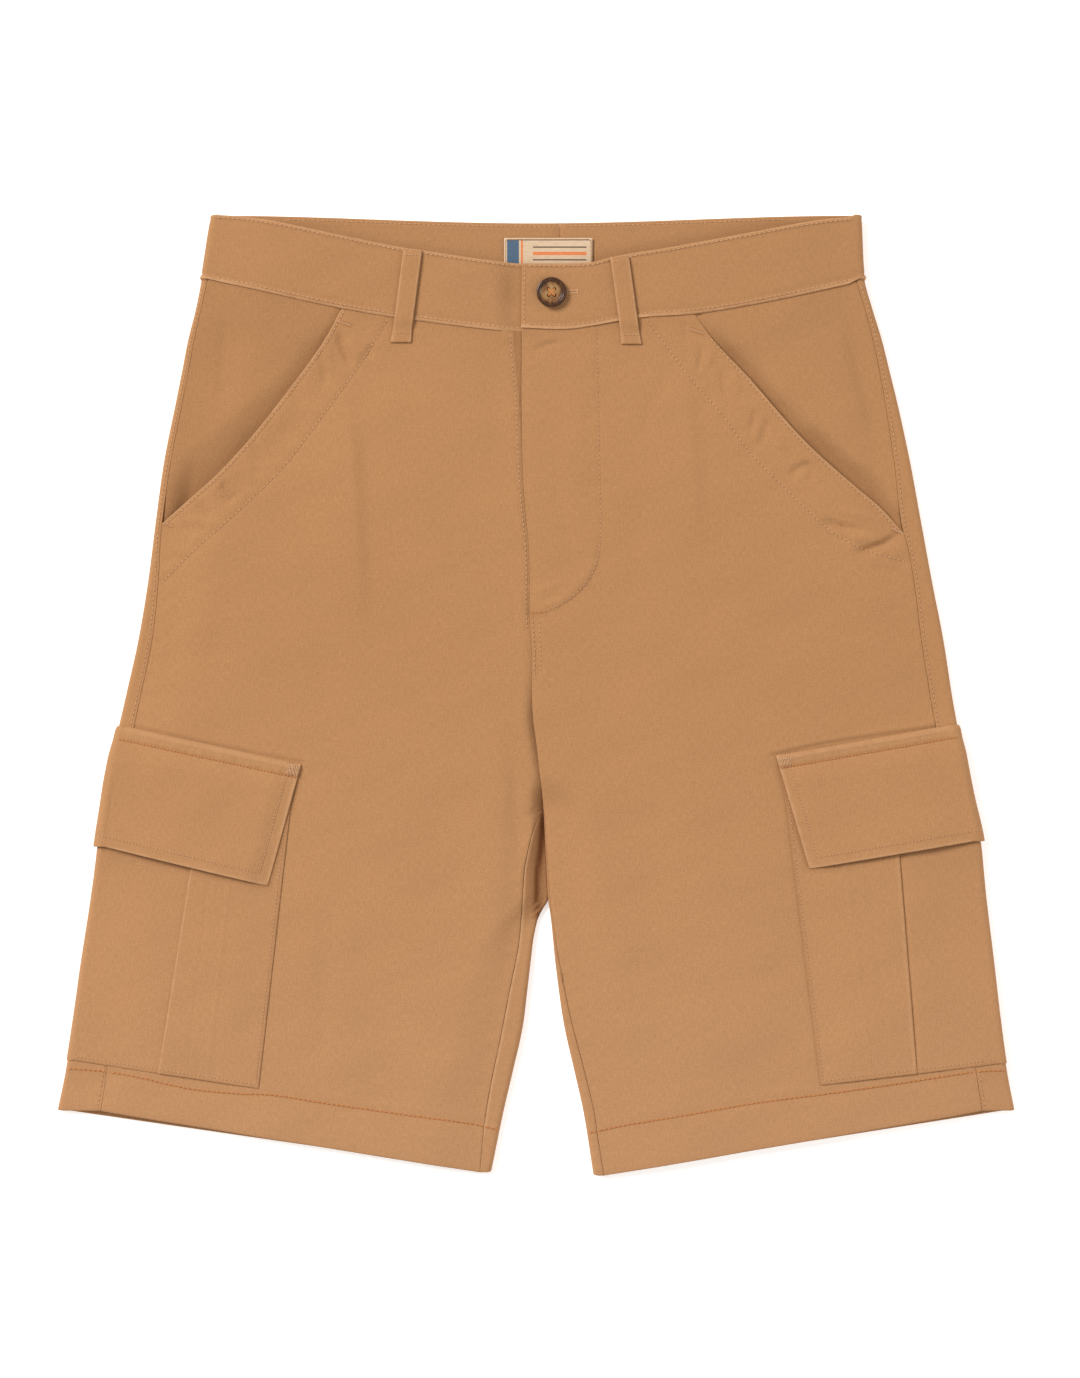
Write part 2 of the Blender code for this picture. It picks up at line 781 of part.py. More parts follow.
def loop_rows(place):
    rows = []
    for step in range(5):
        t = step / 4
        x = mix(place.top_x, place.bottom_x, t)
        y = mix(place.top_y, place.bottom_y, t)
        across = LOOP_WIDTH / 2
        if place.on_back:
            rows.append([(x + across, y, 0.0), (x - across, y, 0.0)])
            continue
        side = "right" if x < 0 else "left"
        height = BAND_PROUD + GAP + LOOP_WALL
        rows.append(
            [(x + dx, y, front_height(side, x + dx, y) + height) for dx in (-across, across)]
        )
    return rows


def button(collection, finish):
    """The dished front button: a turned profile, with four thread holes cut through it."""
    base = band_height("left", BUTTON_X, BUTTON_Y) + GAP
    profile = (
        (0.0, BUTTON_THICKNESS - BUTTON_DISH),
        (BUTTON_RADIUS - BUTTON_RIM - 1.0, BUTTON_THICKNESS - BUTTON_DISH),
        (BUTTON_RADIUS - BUTTON_RIM, BUTTON_THICKNESS - BUTTON_RIM_DROP),
        (BUTTON_RADIUS - BUTTON_RIM / 2, BUTTON_THICKNESS),
        (BUTTON_RADIUS - BUTTON_EDGE_ROUND, BUTTON_THICKNESS - BUTTON_EDGE_ROUND),
        (BUTTON_RADIUS, BUTTON_THICKNESS * 0.55),
        (BUTTON_RADIUS - 1.4, BUTTON_EDGE_ROUND),
        (BUTTON_RADIUS - 3.2, 0.0),
        (0.0, 0.0),
    )
    mesh = bpy.data.meshes.new("button")
    made = bmesh.new()
    points = [made.verts.new((x * MM, 0.0, z * MM)) for x, z in profile]
    for start, end in zip(points, points[1:]):
        made.edges.new((start, end))
    made.to_mesh(mesh)
    made.free()
    obj = bpy.data.objects.new("button", mesh)
    turn = obj.modifiers.new("turn", "SCREW")
    turn.steps = BUTTON_TURN_STEPS
    turn.render_steps = BUTTON_TURN_STEPS
    turn.use_merge_vertices = True
    turn.merge_threshold = 0.00001
    obj.location = (BUTTON_X * MM, BUTTON_Y * MM, base * MM)
    link(obj, collection, finish)
    return obj


def button_hole_cutters(obj, cutters):
    for across in (-1, 1):
        for along in (-1, 1):
            name = f"button_hole_{'left' if across > 0 else 'right'}_{'up' if along > 0 else 'down'}"
            bpy.ops.mesh.primitive_cylinder_add(
                vertices=10,
                radius=BUTTON_HOLE_RADIUS * MM,
                depth=4 * BUTTON_THICKNESS * MM,
                location=(
                    (BUTTON_X + across * BUTTON_HOLE_SPACING / 2) * MM,
                    (BUTTON_Y + along * BUTTON_HOLE_SPACING / 2) * MM,
                    obj.location.z,
                ),
            )
            cutter = bpy.context.object
            cutter.name = name
            for owner in cutter.users_collection:
                owner.objects.unlink(cutter)
            cutters.objects.link(cutter)
            cutter.hide_render = True
            cutter.display_type = "WIRE"
            hole = obj.modifiers.new(name, "BOOLEAN")
            hole.operation = "DIFFERENCE"
            hole.solver = "EXACT"
            hole.object = cutter


def main():
    for old in list(bpy.data.objects):
        bpy.data.objects.remove(old, do_unlink=True)
    parts = bpy.data.collections.new(COLLECTION)
    cutters = bpy.data.collections.new("cutters")
    bpy.context.scene.collection.children.link(parts)
    bpy.context.scene.collection.children.link(cutters)

    twill = material("twill", (0.52, 0.27, 0.12), 0.9)
    patch_twill = material("patch_twill", (0.55, 0.28, 0.12), 0.9)
    tape = material("zip_tape", (0.40, 0.22, 0.11), 0.85)
    label_weave = material("label_weave", (0.78, 0.72, 0.60), 0.8)
    horn = material("button_horn", (0.10, 0.04, 0.02), 0.25)

    hem_rows = [len(HIP_ROWS) + i for i, row in enumerate(LEG_ROWS) if row.doubled]
    for side in ("right", "left"):
        cloth(f"front_{side}", facing_out(side, front_rows(side)), PANEL_WALL, twill, parts,
              hem_rows, HEM_WALL)
        cloth(f"back_{side}", facing_out(side, back_rows(side), False), PANEL_WALL, twill, parts,
              hem_rows, HEM_WALL)
        cloth(f"waistband_{side}", facing_out(side, band_rows(side)), BAND_WALL, twill, parts)
        cloth(f"pocket_facing_{side}", facing_out(side, facing_rows(side)), PANEL_WALL, twill, parts)
        cloth(f"cargo_pocket_{side}", facing_out(side, pocket_rows(side)), PATCH_WALL,
              patch_twill, parts, centred=True)
        cloth(f"cargo_flap_{side}", facing_out(side, flap_rows(side)), PATCH_WALL,
              patch_twill, parts, centred=True)

    shield_drop = PANEL_WALL + FLY_CLEARANCE + ZIP_WALL + GAP + PANEL_WALL / 2
    shield = strip_rows((FLY_SHIELD_X[0], 0.0, 18.0, FLY_SHIELD_X[1]),
                        np.linspace(FLY_SHIELD_Y[1], FLY_SHIELD_Y[0], 6), under_left_front(shield_drop))
    cloth("fly_shield", shield, PANEL_WALL, twill, parts, centred=True)
    zip_drop = PANEL_WALL + FLY_CLEARANCE + ZIP_WALL / 2
    tape_rows = strip_rows((ZIP_X[0], 0.0, ZIP_X[1]),
                           np.linspace(ZIP_Y[1], ZIP_Y[0], 6), under_left_front(zip_drop))
    cloth("zip_tape", tape_rows, ZIP_WALL, tape, parts, centred=True)

    for place in LOOPS:
        cloth(place.name, loop_rows(place), LOOP_WALL, twill, parts)
    label_z = BAND_LIFT + BAND_WALL + GAP + LABEL_WALL / 2
    label = strip_rows(np.linspace(*LABEL_X, 3), LABEL_Y[::-1], lambda x, y: label_z)
    cloth("label", label, LABEL_WALL, label_weave, parts, centred=True)
    button_hole_cutters(button(parts, horn), cutters)


main()
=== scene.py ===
"""Cargo shorts laid flat, front up: cloth, topstitching, label, button, floor, light and camera.

Sizes are in millimetres until a mesh is made. +X is the wearer's left, +Y points to the waist and
+Z is up. The cloth is a flattened tube, whose surfaces the LaidForm class works out; every cut
piece is a fine sheet on that form, with its wall given by Solidify or by two faces joined round its rims.
"""

import json
import logging
import math
from dataclasses import dataclass, field, replace
from enum import Enum
from typing import Callable, ClassVar, Optional, Sequence

import bpy
import numpy as np
from mathutils import Vector
from mathutils.bvhtree import BVHTree
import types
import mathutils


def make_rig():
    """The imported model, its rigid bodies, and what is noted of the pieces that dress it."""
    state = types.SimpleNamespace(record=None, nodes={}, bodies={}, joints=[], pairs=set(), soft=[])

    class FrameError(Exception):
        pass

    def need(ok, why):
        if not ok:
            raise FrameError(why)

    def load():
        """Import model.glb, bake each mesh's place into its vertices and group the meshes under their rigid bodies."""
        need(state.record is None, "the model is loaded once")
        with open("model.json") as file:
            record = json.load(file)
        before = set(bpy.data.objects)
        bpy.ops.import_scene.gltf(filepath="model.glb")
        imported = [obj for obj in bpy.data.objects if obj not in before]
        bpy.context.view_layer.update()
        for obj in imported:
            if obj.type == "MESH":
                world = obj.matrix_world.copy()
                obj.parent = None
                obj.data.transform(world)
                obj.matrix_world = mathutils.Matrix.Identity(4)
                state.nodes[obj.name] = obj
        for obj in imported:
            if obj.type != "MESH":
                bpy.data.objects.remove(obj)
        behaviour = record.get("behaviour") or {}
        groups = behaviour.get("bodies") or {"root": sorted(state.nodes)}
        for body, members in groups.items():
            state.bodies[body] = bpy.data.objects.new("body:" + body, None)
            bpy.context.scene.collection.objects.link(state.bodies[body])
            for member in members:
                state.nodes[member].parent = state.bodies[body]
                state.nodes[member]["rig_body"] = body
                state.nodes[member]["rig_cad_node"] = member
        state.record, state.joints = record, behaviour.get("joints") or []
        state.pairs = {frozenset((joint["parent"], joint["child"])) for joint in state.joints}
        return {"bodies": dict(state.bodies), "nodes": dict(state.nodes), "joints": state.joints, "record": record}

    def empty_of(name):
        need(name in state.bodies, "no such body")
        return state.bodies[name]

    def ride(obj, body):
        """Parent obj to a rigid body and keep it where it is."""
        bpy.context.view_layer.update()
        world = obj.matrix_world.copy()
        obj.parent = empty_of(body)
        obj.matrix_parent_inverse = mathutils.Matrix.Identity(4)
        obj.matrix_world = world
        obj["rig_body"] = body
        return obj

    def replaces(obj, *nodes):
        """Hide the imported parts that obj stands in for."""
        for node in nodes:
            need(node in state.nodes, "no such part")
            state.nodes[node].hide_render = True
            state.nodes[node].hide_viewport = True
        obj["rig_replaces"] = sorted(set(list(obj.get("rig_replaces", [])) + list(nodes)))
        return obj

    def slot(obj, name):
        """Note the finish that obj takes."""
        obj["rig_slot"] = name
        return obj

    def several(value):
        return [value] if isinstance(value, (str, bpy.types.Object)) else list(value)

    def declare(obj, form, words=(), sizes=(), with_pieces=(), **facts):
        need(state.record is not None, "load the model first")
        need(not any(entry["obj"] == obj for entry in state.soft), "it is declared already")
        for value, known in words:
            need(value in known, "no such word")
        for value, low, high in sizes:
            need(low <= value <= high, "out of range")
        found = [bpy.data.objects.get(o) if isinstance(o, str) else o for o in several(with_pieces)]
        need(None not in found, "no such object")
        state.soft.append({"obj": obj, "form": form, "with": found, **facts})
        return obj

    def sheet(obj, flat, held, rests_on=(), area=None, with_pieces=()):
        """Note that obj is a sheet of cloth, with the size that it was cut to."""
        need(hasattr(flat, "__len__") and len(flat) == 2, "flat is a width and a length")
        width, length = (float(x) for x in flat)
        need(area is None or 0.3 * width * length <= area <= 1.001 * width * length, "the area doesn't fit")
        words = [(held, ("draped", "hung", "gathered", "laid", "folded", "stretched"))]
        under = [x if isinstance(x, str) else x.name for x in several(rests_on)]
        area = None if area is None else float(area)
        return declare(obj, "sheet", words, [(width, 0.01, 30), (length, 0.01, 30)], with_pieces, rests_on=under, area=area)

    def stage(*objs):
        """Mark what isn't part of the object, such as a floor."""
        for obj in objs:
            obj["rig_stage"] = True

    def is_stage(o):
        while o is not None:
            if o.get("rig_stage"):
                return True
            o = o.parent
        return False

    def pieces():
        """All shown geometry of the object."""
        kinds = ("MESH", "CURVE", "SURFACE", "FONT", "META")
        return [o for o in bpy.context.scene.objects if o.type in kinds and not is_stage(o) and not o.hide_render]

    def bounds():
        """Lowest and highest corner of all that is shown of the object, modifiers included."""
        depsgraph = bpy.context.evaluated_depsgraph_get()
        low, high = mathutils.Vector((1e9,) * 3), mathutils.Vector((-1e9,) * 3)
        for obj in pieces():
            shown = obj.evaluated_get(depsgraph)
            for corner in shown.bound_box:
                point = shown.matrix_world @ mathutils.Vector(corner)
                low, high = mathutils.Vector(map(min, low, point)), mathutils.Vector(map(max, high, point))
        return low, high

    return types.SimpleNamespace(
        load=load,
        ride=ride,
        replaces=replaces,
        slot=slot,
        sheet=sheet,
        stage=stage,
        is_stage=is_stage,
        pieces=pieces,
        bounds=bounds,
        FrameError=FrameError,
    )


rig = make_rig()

MM = 0.001
BODY = "root"
LOG = logging.getLogger("cargo_shorts")
Array = np.ndarray
Point = tuple[float, float]
Place = tuple[float, float, float]
Colour = tuple[float, float, float]
Piece = bpy.types.Object
Material = bpy.types.Material
Node = bpy.types.Node
Socket = bpy.types.NodeSocket
Surface = Callable[[Array, Array], Array]


class Side(Enum):
    """The wearer's right or left half of the garment."""

    RIGHT = "right"
    LEFT = "left"

    @property
    def sign(self) -> float:
        """-1 on the wearer's right, 1 on the left."""
        return -1.0 if self is Side.RIGHT else 1.0


class Thread(Enum):
    """The sewing threads, and the painted shade of the needle holes."""

    TONAL = "tonal"
    RUST = "rust"
    PALE = "pale"
    # Not a thread: small dark bars between stitches, painted shade in the needle holes.
    HOLE = "needle_hole"


class Yarn(Enum):
    """The yarns of the woven label, each with its place among the label's finishes."""

    GROUND = 0
    BLUE = 1
    ORANGE = 2
    BROWN = 3


def smooth(value: Array | float) -> Array:
    """0 below 0, 1 above 1 and a smooth step between.

    Args:
        value: Where to read the step.

    Returns:
        The step's height.
    """
    t = np.clip(value, 0.0, 1.0)
    return t * t * (3.0 - 2.0 * t)


def mix(a: Array | float, b: Array | float, t: Array | float) -> Array:
    """The value a share t of the way from a to b."""
    return a + (b - a) * t


def bell(value: Array | float, width: Array | float) -> Array:
    """A bump 1 high at 0 that fades over a width on both sides."""
    return np.exp(-((value / width) ** 2))


@dataclass(frozen=True)
class SmoothCurve:
    """A smooth curve through a few knots, read by its first coordinate."""

    knots: tuple[Point, ...]

    def __call__(self, at: Array | float) -> Array:
        """The curve's value.

        Args:
            at: Where to read the curve; past its ends it stays level.

        Returns:
            The value there, by cubic Hermite pieces with averaged slopes.
        """
        points = sorted(self.knots)
        xs = np.array([p[0] for p in points])
        ys = np.array([p[1] for p in points])
        steps = np.diff(ys) / np.diff(xs)
        slopes = np.empty_like(ys)
        slopes[1:-1] = (steps[:-1] + steps[1:]) / 2.0
        slopes[0], slopes[-1] = steps[0], steps[-1]
        at = np.clip(np.asarray(at, float), xs[0], xs[-1])
        i = np.clip(np.searchsorted(xs, at, side="right") - 1, 0, len(xs) - 2)
        width = xs[i + 1] - xs[i]
        t = (at - xs[i]) / width
        return (
            ys[i] * (1 + 2 * t) * (1 - t) ** 2
            + slopes[i] * width * t * (1 - t) ** 2
            + ys[i + 1] * t * t * (3 - 2 * t)
            + slopes[i + 1] * width * t * t * (t - 1)
        )


@dataclass(frozen=True)
class Polyline:
    """A line on the garment's plan, such as a seam or a row of stitches."""

    points: tuple[Point, ...]
    rounded: bool = True

    def sampled(self, pitch: float) -> Array:
        """The line's points at an even pitch.

        Args:
            pitch: The distance between points, in millimetres.

        Returns:
            An array of (x, y) rows.
        """
        corners = np.array(self.points, float)
        if self.rounded and len(corners) > 2:
            chord = np.concatenate([[0], np.cumsum(np.hypot(*np.diff(corners, axis=0).T))])
            dense = np.linspace(0, chord[-1], 40 * len(corners))
            corners = np.stack(
                [SmoothCurve(tuple(zip(chord, corners[:, k])))(dense) for k in (0, 1)], axis=1
            )
        run = np.concatenate([[0], np.cumsum(np.hypot(*np.diff(corners, axis=0).T))])
        stops = np.linspace(0, run[-1], max(2, round(run[-1] / pitch) + 1))
        return np.stack([np.interp(stops, run, corners[:, k]) for k in (0, 1)], axis=1)

    def moved(self, distance: float) -> "Polyline":
        """The same line moved to its left.

        Args:
            distance: How far, in millimetres.

        Returns:
            The moved line.
        """
        corners = np.array(self.points, float)
        along = np.gradient(corners, axis=0)
        along /= np.maximum(np.hypot(along[:, 0], along[:, 1])[:, None], 1e-9)
        left = np.stack([-along[:, 1], along[:, 0]], axis=1)
        return Polyline(tuple(map(tuple, corners + distance * left)), self.rounded)

    def distance(self, x: Array, y: Array) -> tuple[Array, Array]:
        """How far each place is from the line, and how far along the line its nearest point is.

        Args:
            x: Places across.
            y: Places along the garment.

        Returns:
            The signed distance (positive to the line's left) and the length along the line.
        """
        line = self.sampled(6.0)
        best = np.full(np.shape(x), 1e9)
        signed = np.zeros(np.shape(x))
        along = np.zeros(np.shape(x))
        run = 0.0
        for (x0, y0), (x1, y1) in zip(line, line[1:]):
            dx, dy = x1 - x0, y1 - y0
            length = math.hypot(dx, dy)
            t = np.clip(((x - x0) * dx + (y - y0) * dy) / length**2, 0.0, 1.0)
            far = np.hypot(x - x0 - t * dx, y - y0 - t * dy)
            nearer = far < best
            side = np.sign(dx * (y - y0) - dy * (x - x0))
            best = np.where(nearer, far, best)
            signed = np.where(nearer, side * far, signed)
            along = np.where(nearer, run + t * length, along)
            run += length
        return signed, along


@dataclass(frozen=True)
class Crease:
    """A soft ridge (positive height) or trough in a layer, between two points."""

    start: Point
    end: Point
    width: float
    height: float
    bow: float = 0.0
    tail: float = 0.0

    def relief(self, x: Array, y: Array) -> Array:
        """The crease's height at each place.

        Args:
            x: Places across.
            y: Places along the garment.

        Returns:
            The relief in millimetres, fading at both ends.
        """
        dx, dy = self.end[0] - self.start[0], self.end[1] - self.start[1]
        length = math.hypot(dx, dy)
        t = ((x - self.start[0]) * dx + (y - self.start[1]) * dy) / length**2
        across = ((x - self.start[0]) * dy - (y - self.start[1]) * dx) / length
        across = across - self.bow * 4.0 * np.clip(t, 0, 1) * (1 - np.clip(t, 0, 1))
        ends = smooth(t / 0.35) * smooth((1.0 - t) / 0.35)
        width = np.where(across > 0, self.tail or self.width, self.width)
        return self.height * ends * bell(across, width)


@dataclass(frozen=True)
class SeamRelief:
    """What a sewn line does to the cloth: a pressed groove, a raised lip and small puckers."""

    line: Polyline
    groove: float = 0.28
    lip: float = 0.22
    lip_side: float = 1.0
    pucker: float = 0.16
    pucker_pitch: float = 9.0
    groove_width: float = 1.6
    lip_reach: float = 4.5
    lean: float = 0.35

    def relief(self, x: Array, y: Array) -> Array:
        """The relief of the sewn line at each place.

        Args:
            x: Places across.
            y: Places along the garment.

        Returns:
            The relief in millimetres.
        """
        signed, along = self.line.distance(x, y)
        groove = -self.groove * bell(signed, self.groove_width)
        side = signed * self.lip_side
        lip = self.lip * bell(side - self.lip_reach * 0.55, self.lip_reach * 0.5)
        phase = along + self.lean * signed
        wave = np.sin(2 * np.pi * phase / self.pucker_pitch)
        wave = wave + 0.6 * np.sin(2 * np.pi * phase / (self.pucker_pitch * 1.73) + 1.3)
        puckers = self.pucker * wave * bell(signed, 6.0)
        return groove + lip + puckers


@dataclass(frozen=True)
class Undulation:
    """The slight unevenness of pressed cloth, as a sum of long waves."""

    height: float = 0.16
    waves: tuple[tuple[float, float, float], ...] = (
        (61.0, 0.3, 0.0), (47.0, 1.4, 1.1), (38.0, 2.2, 2.6), (83.0, 2.9, 0.7), (29.0, 0.9, 4.0),
        (22.0, 1.9, 5.2),
    )

    def relief(self, x: Array, y: Array) -> Array:
        """The unevenness at each place, in millimetres.

        Args:
            x: Places across.
            y: Places along the garment.

        Returns:
            The relief in millimetres.
        """
        total = np.zeros(np.shape(x))
        for length, turn, phase in self.waves:
            along = x * math.cos(turn) + y * math.sin(turn)
            bent = along + 0.18 * length * np.sin((x - y) / (1.7 * length) + phase)
            total = total + np.sin(2 * np.pi * bent / length + phase) * (length / 60.0)
        return self.height * total


def curve(*knots: Point) -> SmoothCurve:
    """A smooth curve from its knots."""
    return SmoothCurve(tuple(knots))


def ridges(*rows: tuple[float, ...]) -> tuple[Crease, ...]:
    """Creases from rows of both ends' x and y, the width, the height, the bow and the tail."""
    return tuple(Crease(row[:2], row[2:4], *row[4:]) for row in rows)


def halves(right: object, left: object) -> dict:
    """A field that holds one value for each half of the garment."""
    return field(default_factory=lambda: {Side.RIGHT: right, Side.LEFT: left})


@dataclass(frozen=True)
class LaidForm:
    """The flattened tube: where its folds and seams lie, and how high each layer stands."""

    fold_radius: float = 3.3
    shoulder: float = 40.0
    crotch_y: float = -69.9
    band_height: float = 39.0
    band_lift: float = 2.1
    cargo_wrap: float = 27.0
    edges: dict[Side, SmoothCurve] = halves(
        curve(
            (289, -194.6), (279, -196.4), (250, -201.0), (231, -204.8), (213, -209.4),
            (195, -213.0), (177, -216.6), (141, -223.8), (105, -228.8), (69, -233.4), (33, -239.4),
            (-3, -247.4), (-51, -257.4), (-87, -262.4), (-123, -267.4), (-159, -272.9),
            (-195, -277.9), (-222, -282.2), (-250, -288.0),
        ),
        curve(
            (289, 195.0), (279, 195.4), (250, 197.4), (231, 202.6), (213, 208.2), (195, 212.8),
            (177, 217.2), (141, 225.0), (105, 231.6), (69, 238.2), (33, 245.2), (-3, 250.8),
            (-51, 259.2), (-87, 266.4), (-123, 270.4), (-159, 274.7), (-195, 278.8), (-222, 282.6),
            (-250, 288.0),
        ),
    )
    outseams: dict[Side, SmoothCurve] = halves(
        curve(
            (289, -190.4), (250, -197.0), (213, -205.2), (177, -212.2), (141, -219.2),
            (105, -224.4), (93, -225.6), (69, -226.8), (33, -230.6), (-3, -238.0), (-18, -241.0),
            (-51, -246.4), (-87, -249.4), (-159, -253.5), (-222, -257.2), (-250, -261.6),
        ),
        curve(
            (289, 189.0), (250, 192.2), (231, 197.8), (201, 205.2), (177, 209.6), (139, 215.4),
            (101, 220.0), (90, 223.2), (69, 227.0), (33, 231.6), (-3, 237.3), (-18, 239.8),
            (-51, 246.0), (-87, 251.5), (-159, 257.0), (-222, 263.8), (-250, 268.2),
        ),
    )
    inner_edges: dict[Side, SmoothCurve] = halves(
        curve(
            (-69.9, 4.9), (-92, 6.0), (-112, 7.0), (-119, 7.6), (-123, 7.4), (-126, 5.8),
            (-130, 3.2), (-135, 1.0), (-140, -0.2), (-147, -1.6), (-159, -3.0), (-183, -5.8),
            (-195, -7.2), (-207, -9.4), (-219, -12.2), (-231, -15.0), (-249, -19.2), (-289, -27.4),
        ),
        curve(
            (-69.9, 4.6), (-92, 5.6), (-112, 6.6), (-122, 7.2), (-128, 8.0), (-135, 9.0),
            (-159, 11.4), (-183, 14.4), (-195, 16.2), (-207, 18.6), (-219, 21.4), (-231, 24.2),
            (-249, 28.2), (-289, 34.6),
        ),
    )
    inseams: dict[Side, SmoothCurve] = halves(
        curve(
            (-69.9, 3.7), (-75, 0.6), (-82, -2.0), (-92, -4.6), (-105, -7.0), (-120, -8.0),
            (-133, -8.8), (-150, -10.4), (-176, -15.6), (-206, -21.4), (-236, -27.6), (-259, -31.2),
            (-289, -34.0),
        ),
        curve(
            (-69.9, 4.9), (-92, 6.4), (-112, 7.6), (-126, 8.7), (-141, 10.9), (-155, 13.0),
            (-168, 15.8), (-182, 18.4), (-194, 21.0), (-225, 29.0), (-251, 35.2), (-263, 36.8),
            (-289, 41.0),
        ),
    )
    fronts: dict[Side, SmoothCurve] = halves(
        curve(
            (290, -13.8), (217.5, -13.6), (196, -12.2), (177, -10.4), (150, -9.2), (129, -8.3),
            (82, -4.2), (49, -4.1), (27, -2.7), (12, -2.7), (0, -2.7), (-15, -1.9), (-30, 0.1),
            (-45, 1.7), (-58, 3.1), (-69.9, 4.1),
        ),
        curve(
            (290, -8.6), (217.5, -8.4), (177, -8.6), (129, -7.6), (82, -3.8), (49, -3.7),
            (27, -2.4), (12, -2.4), (0, -2.4), (-15, -1.6), (-30, 0.4), (-45, 2.0), (-58, 3.4),
            (-69.9, 4.4),
        ),
    )
    back_seam: SmoothCurve = curve((290, 14.4), (177, 11.6), (49, 6.8), (-69.9, 4.25))
    mouths: dict[Side, SmoothCurve] = halves(
        curve(
            (232, -116.2), (212.3, -126.9), (186.9, -145.2), (170.1, -158.0), (152.7, -172.2),
            (132.9, -190.8), (118.2, -207.6), (104.1, -224.0),
        ),
        curve(
            (232, 94.6), (215.3, 106.2), (191.1, 127.2), (171.9, 143.4), (149.4, 164.1),
            (125.3, 191.4), (111.9, 207.6), (98.3, 220.2),
        ),
    )
    waist_seams: dict[Side, SmoothCurve] = halves(
        curve(
            (-204, 251.0), (-196, 249.6), (-117, 232.2), (-86, 227.0), (-74, 225.3), (-22, 219.0),
            (-9.6, 218.1), (40, 218.1),
        ),
        curve(
            (-10, 220.5), (20, 219.8), (34, 221.6), (50, 224.6), (63, 226.6), (97, 229.2),
            (143, 237.0), (192, 248.0), (204, 250.4),
        ),
    )
    band_tops: dict[Side, SmoothCurve] = halves(
        curve(
            (-204, 289.0), (-194, 288.7), (-172, 286.9), (-117, 276.0), (-80, 268.6), (-68, 266.8),
            (-9.6, 259.2), (40, 259.2),
        ),
        curve(
            (-10, 259.2), (26, 259.3), (34, 259.9), (45, 262.7), (79, 268.5), (127, 277.2),
            (175, 285.9), (190, 287.2), (204, 287.4),
        ),
    )
    heights: SmoothCurve = curve(
        (289, 12.0), (217, 11.6), (105, 11.0), (0, 10.4), (-16, 10.3), (-92, 9.8), (-222, 9.4),
        (-289, 9.4),
    )
    lifts: SmoothCurve = curve(
        (6, 0.0), (0, 0.1), (-16, 1.5), (-31, 3.0), (-92, 3.0), (-104, 1.5), (-222, 1.5),
        (-234, 0.0), (-289, 0.0),
    )
    inner_radii: dict[Side, SmoothCurve] = halves(
        curve((30, 1.0), (-69.9, 1.1), (-118, 1.5), (-150, 2.8), (-289, 3.3)),
        curve((30, 1.6), (-69.9, 3.0), (-118, 3.3), (-289, 3.3)),
    )
    pinch: SmoothCurve = curve(
        (20, 0.0), (8, 0.3), (-10, 1.7), (-30, 1.9), (-45, 1.1), (-60, 1.3), (-72, 0.0),
        (-289, 0.0),
    )
    inner_shoulders: dict[Side, SmoothCurve] = halves(
        curve(
            (30, 6.0), (-20, 7.0), (-60, 6.0), (-75, 6.5), (-90, 10.0), (-105, 15.0), (-122, 17.0),
            (-160, 32.0), (-289, 40.0),
        ),
        curve((30, 9.0), (-30, 12.0), (-69.9, 26.0), (-118, 30.0), (-160, 36.0), (-289, 40.0)),
    )
    creases: tuple[Crease, ...] = ridges(
        (-115, 190, -107, 30, 6.0, 2.4, -2.0, 26.0), (-96, 150, -92, 60, 9.0, 0.5, 2.0),
        (-150, 110, -132, -20, 12.0, 0.6, 4.0), (86, 204, 95, 84, 6.0, 1.4, -2.0, 20.0),
        (86, 206, 62, 152, 5.0, -0.5, 2.0), (-26, 212, -18, 92, 9.0, -0.6, 1.0),
        (-60, 205, -52, 96, 17.0, 0.5, 0.0), (60, 130, 58, 40, 9.0, -0.5, 0.0),
        (120, 130, 112, 30, 14.0, -0.6, 4.0), (26, 214, 27, 84, 7.0, 0.55, 2.0, 10.0),
        (9, 138, 25, 76, 2.6, -0.45, 0.0, 4.0), (-4.5, 205.5, 18, 212.6, 1.8, -1.0, -0.8),
        (0, 214, 28, 216, 2.6, 0.3, 0.0), (-6, 196, 14, 193, 2.2, -0.28),
        (-6, 183, 10, 181, 2.2, -0.22), (-5, 166, 12, 164, 2.4, 0.22),
        (-3, 62, 18, 70, 2.4, 0.45, 1.0), (-2, 56, 14, 61, 2.0, -0.4, 1.0),
        (-13, -36, -8, -112, 2.6, -0.8, 1.0, 3.0), (-25, 10, -27, -170, 7.0, 0.9, -3.0, 12.0),
        (30, -30, 33, -170, 12.0, 0.6, -3.0), (54, -40, 70, -170, 17.0, -0.6, -4.0),
        (-66, -10, -100, -180, 20.0, 0.6, 2.0), (-122, -110, -130, -236, 7.0, -0.6, 1.0),
        (-150, 6, -196, 62, 13.0, 0.6, 3.0), (-170, 70, -206, 10, 12.0, -0.6, 2.0),
        (92, -20, 98, -190, 17.0, 0.5, 0.0), (150, 66, 206, 30, 13.0, -0.5, 3.0),
        (140, 40, 190, -6, 15.0, 0.6, 2.0), (-90, -200, -30, -240, 14.0, 0.5, 2.0),
        (60, -215, 150, -190, 16.0, 0.5, 3.0),
    )
    hip_creases: dict[Side, tuple[Crease, ...]] = halves(
        ridges(
            (-184, 246, -189, 160, 16.0, -1.2, 1.0, 4.0), (-198, 232, -205, 140, 5.0, 0.5, 1.0),
        ),
        ridges(
            (137, 200, 168, 142, 5.0, 1.4, 1.0, 9.0), (163, 164, 188, 118, 4.0, -1.1),
            (180, 232, 203, 142, 4.0, 0.9, 2.0, 14.0), (186, 150, 206, 112, 4.0, 0.9),
        ),
    )
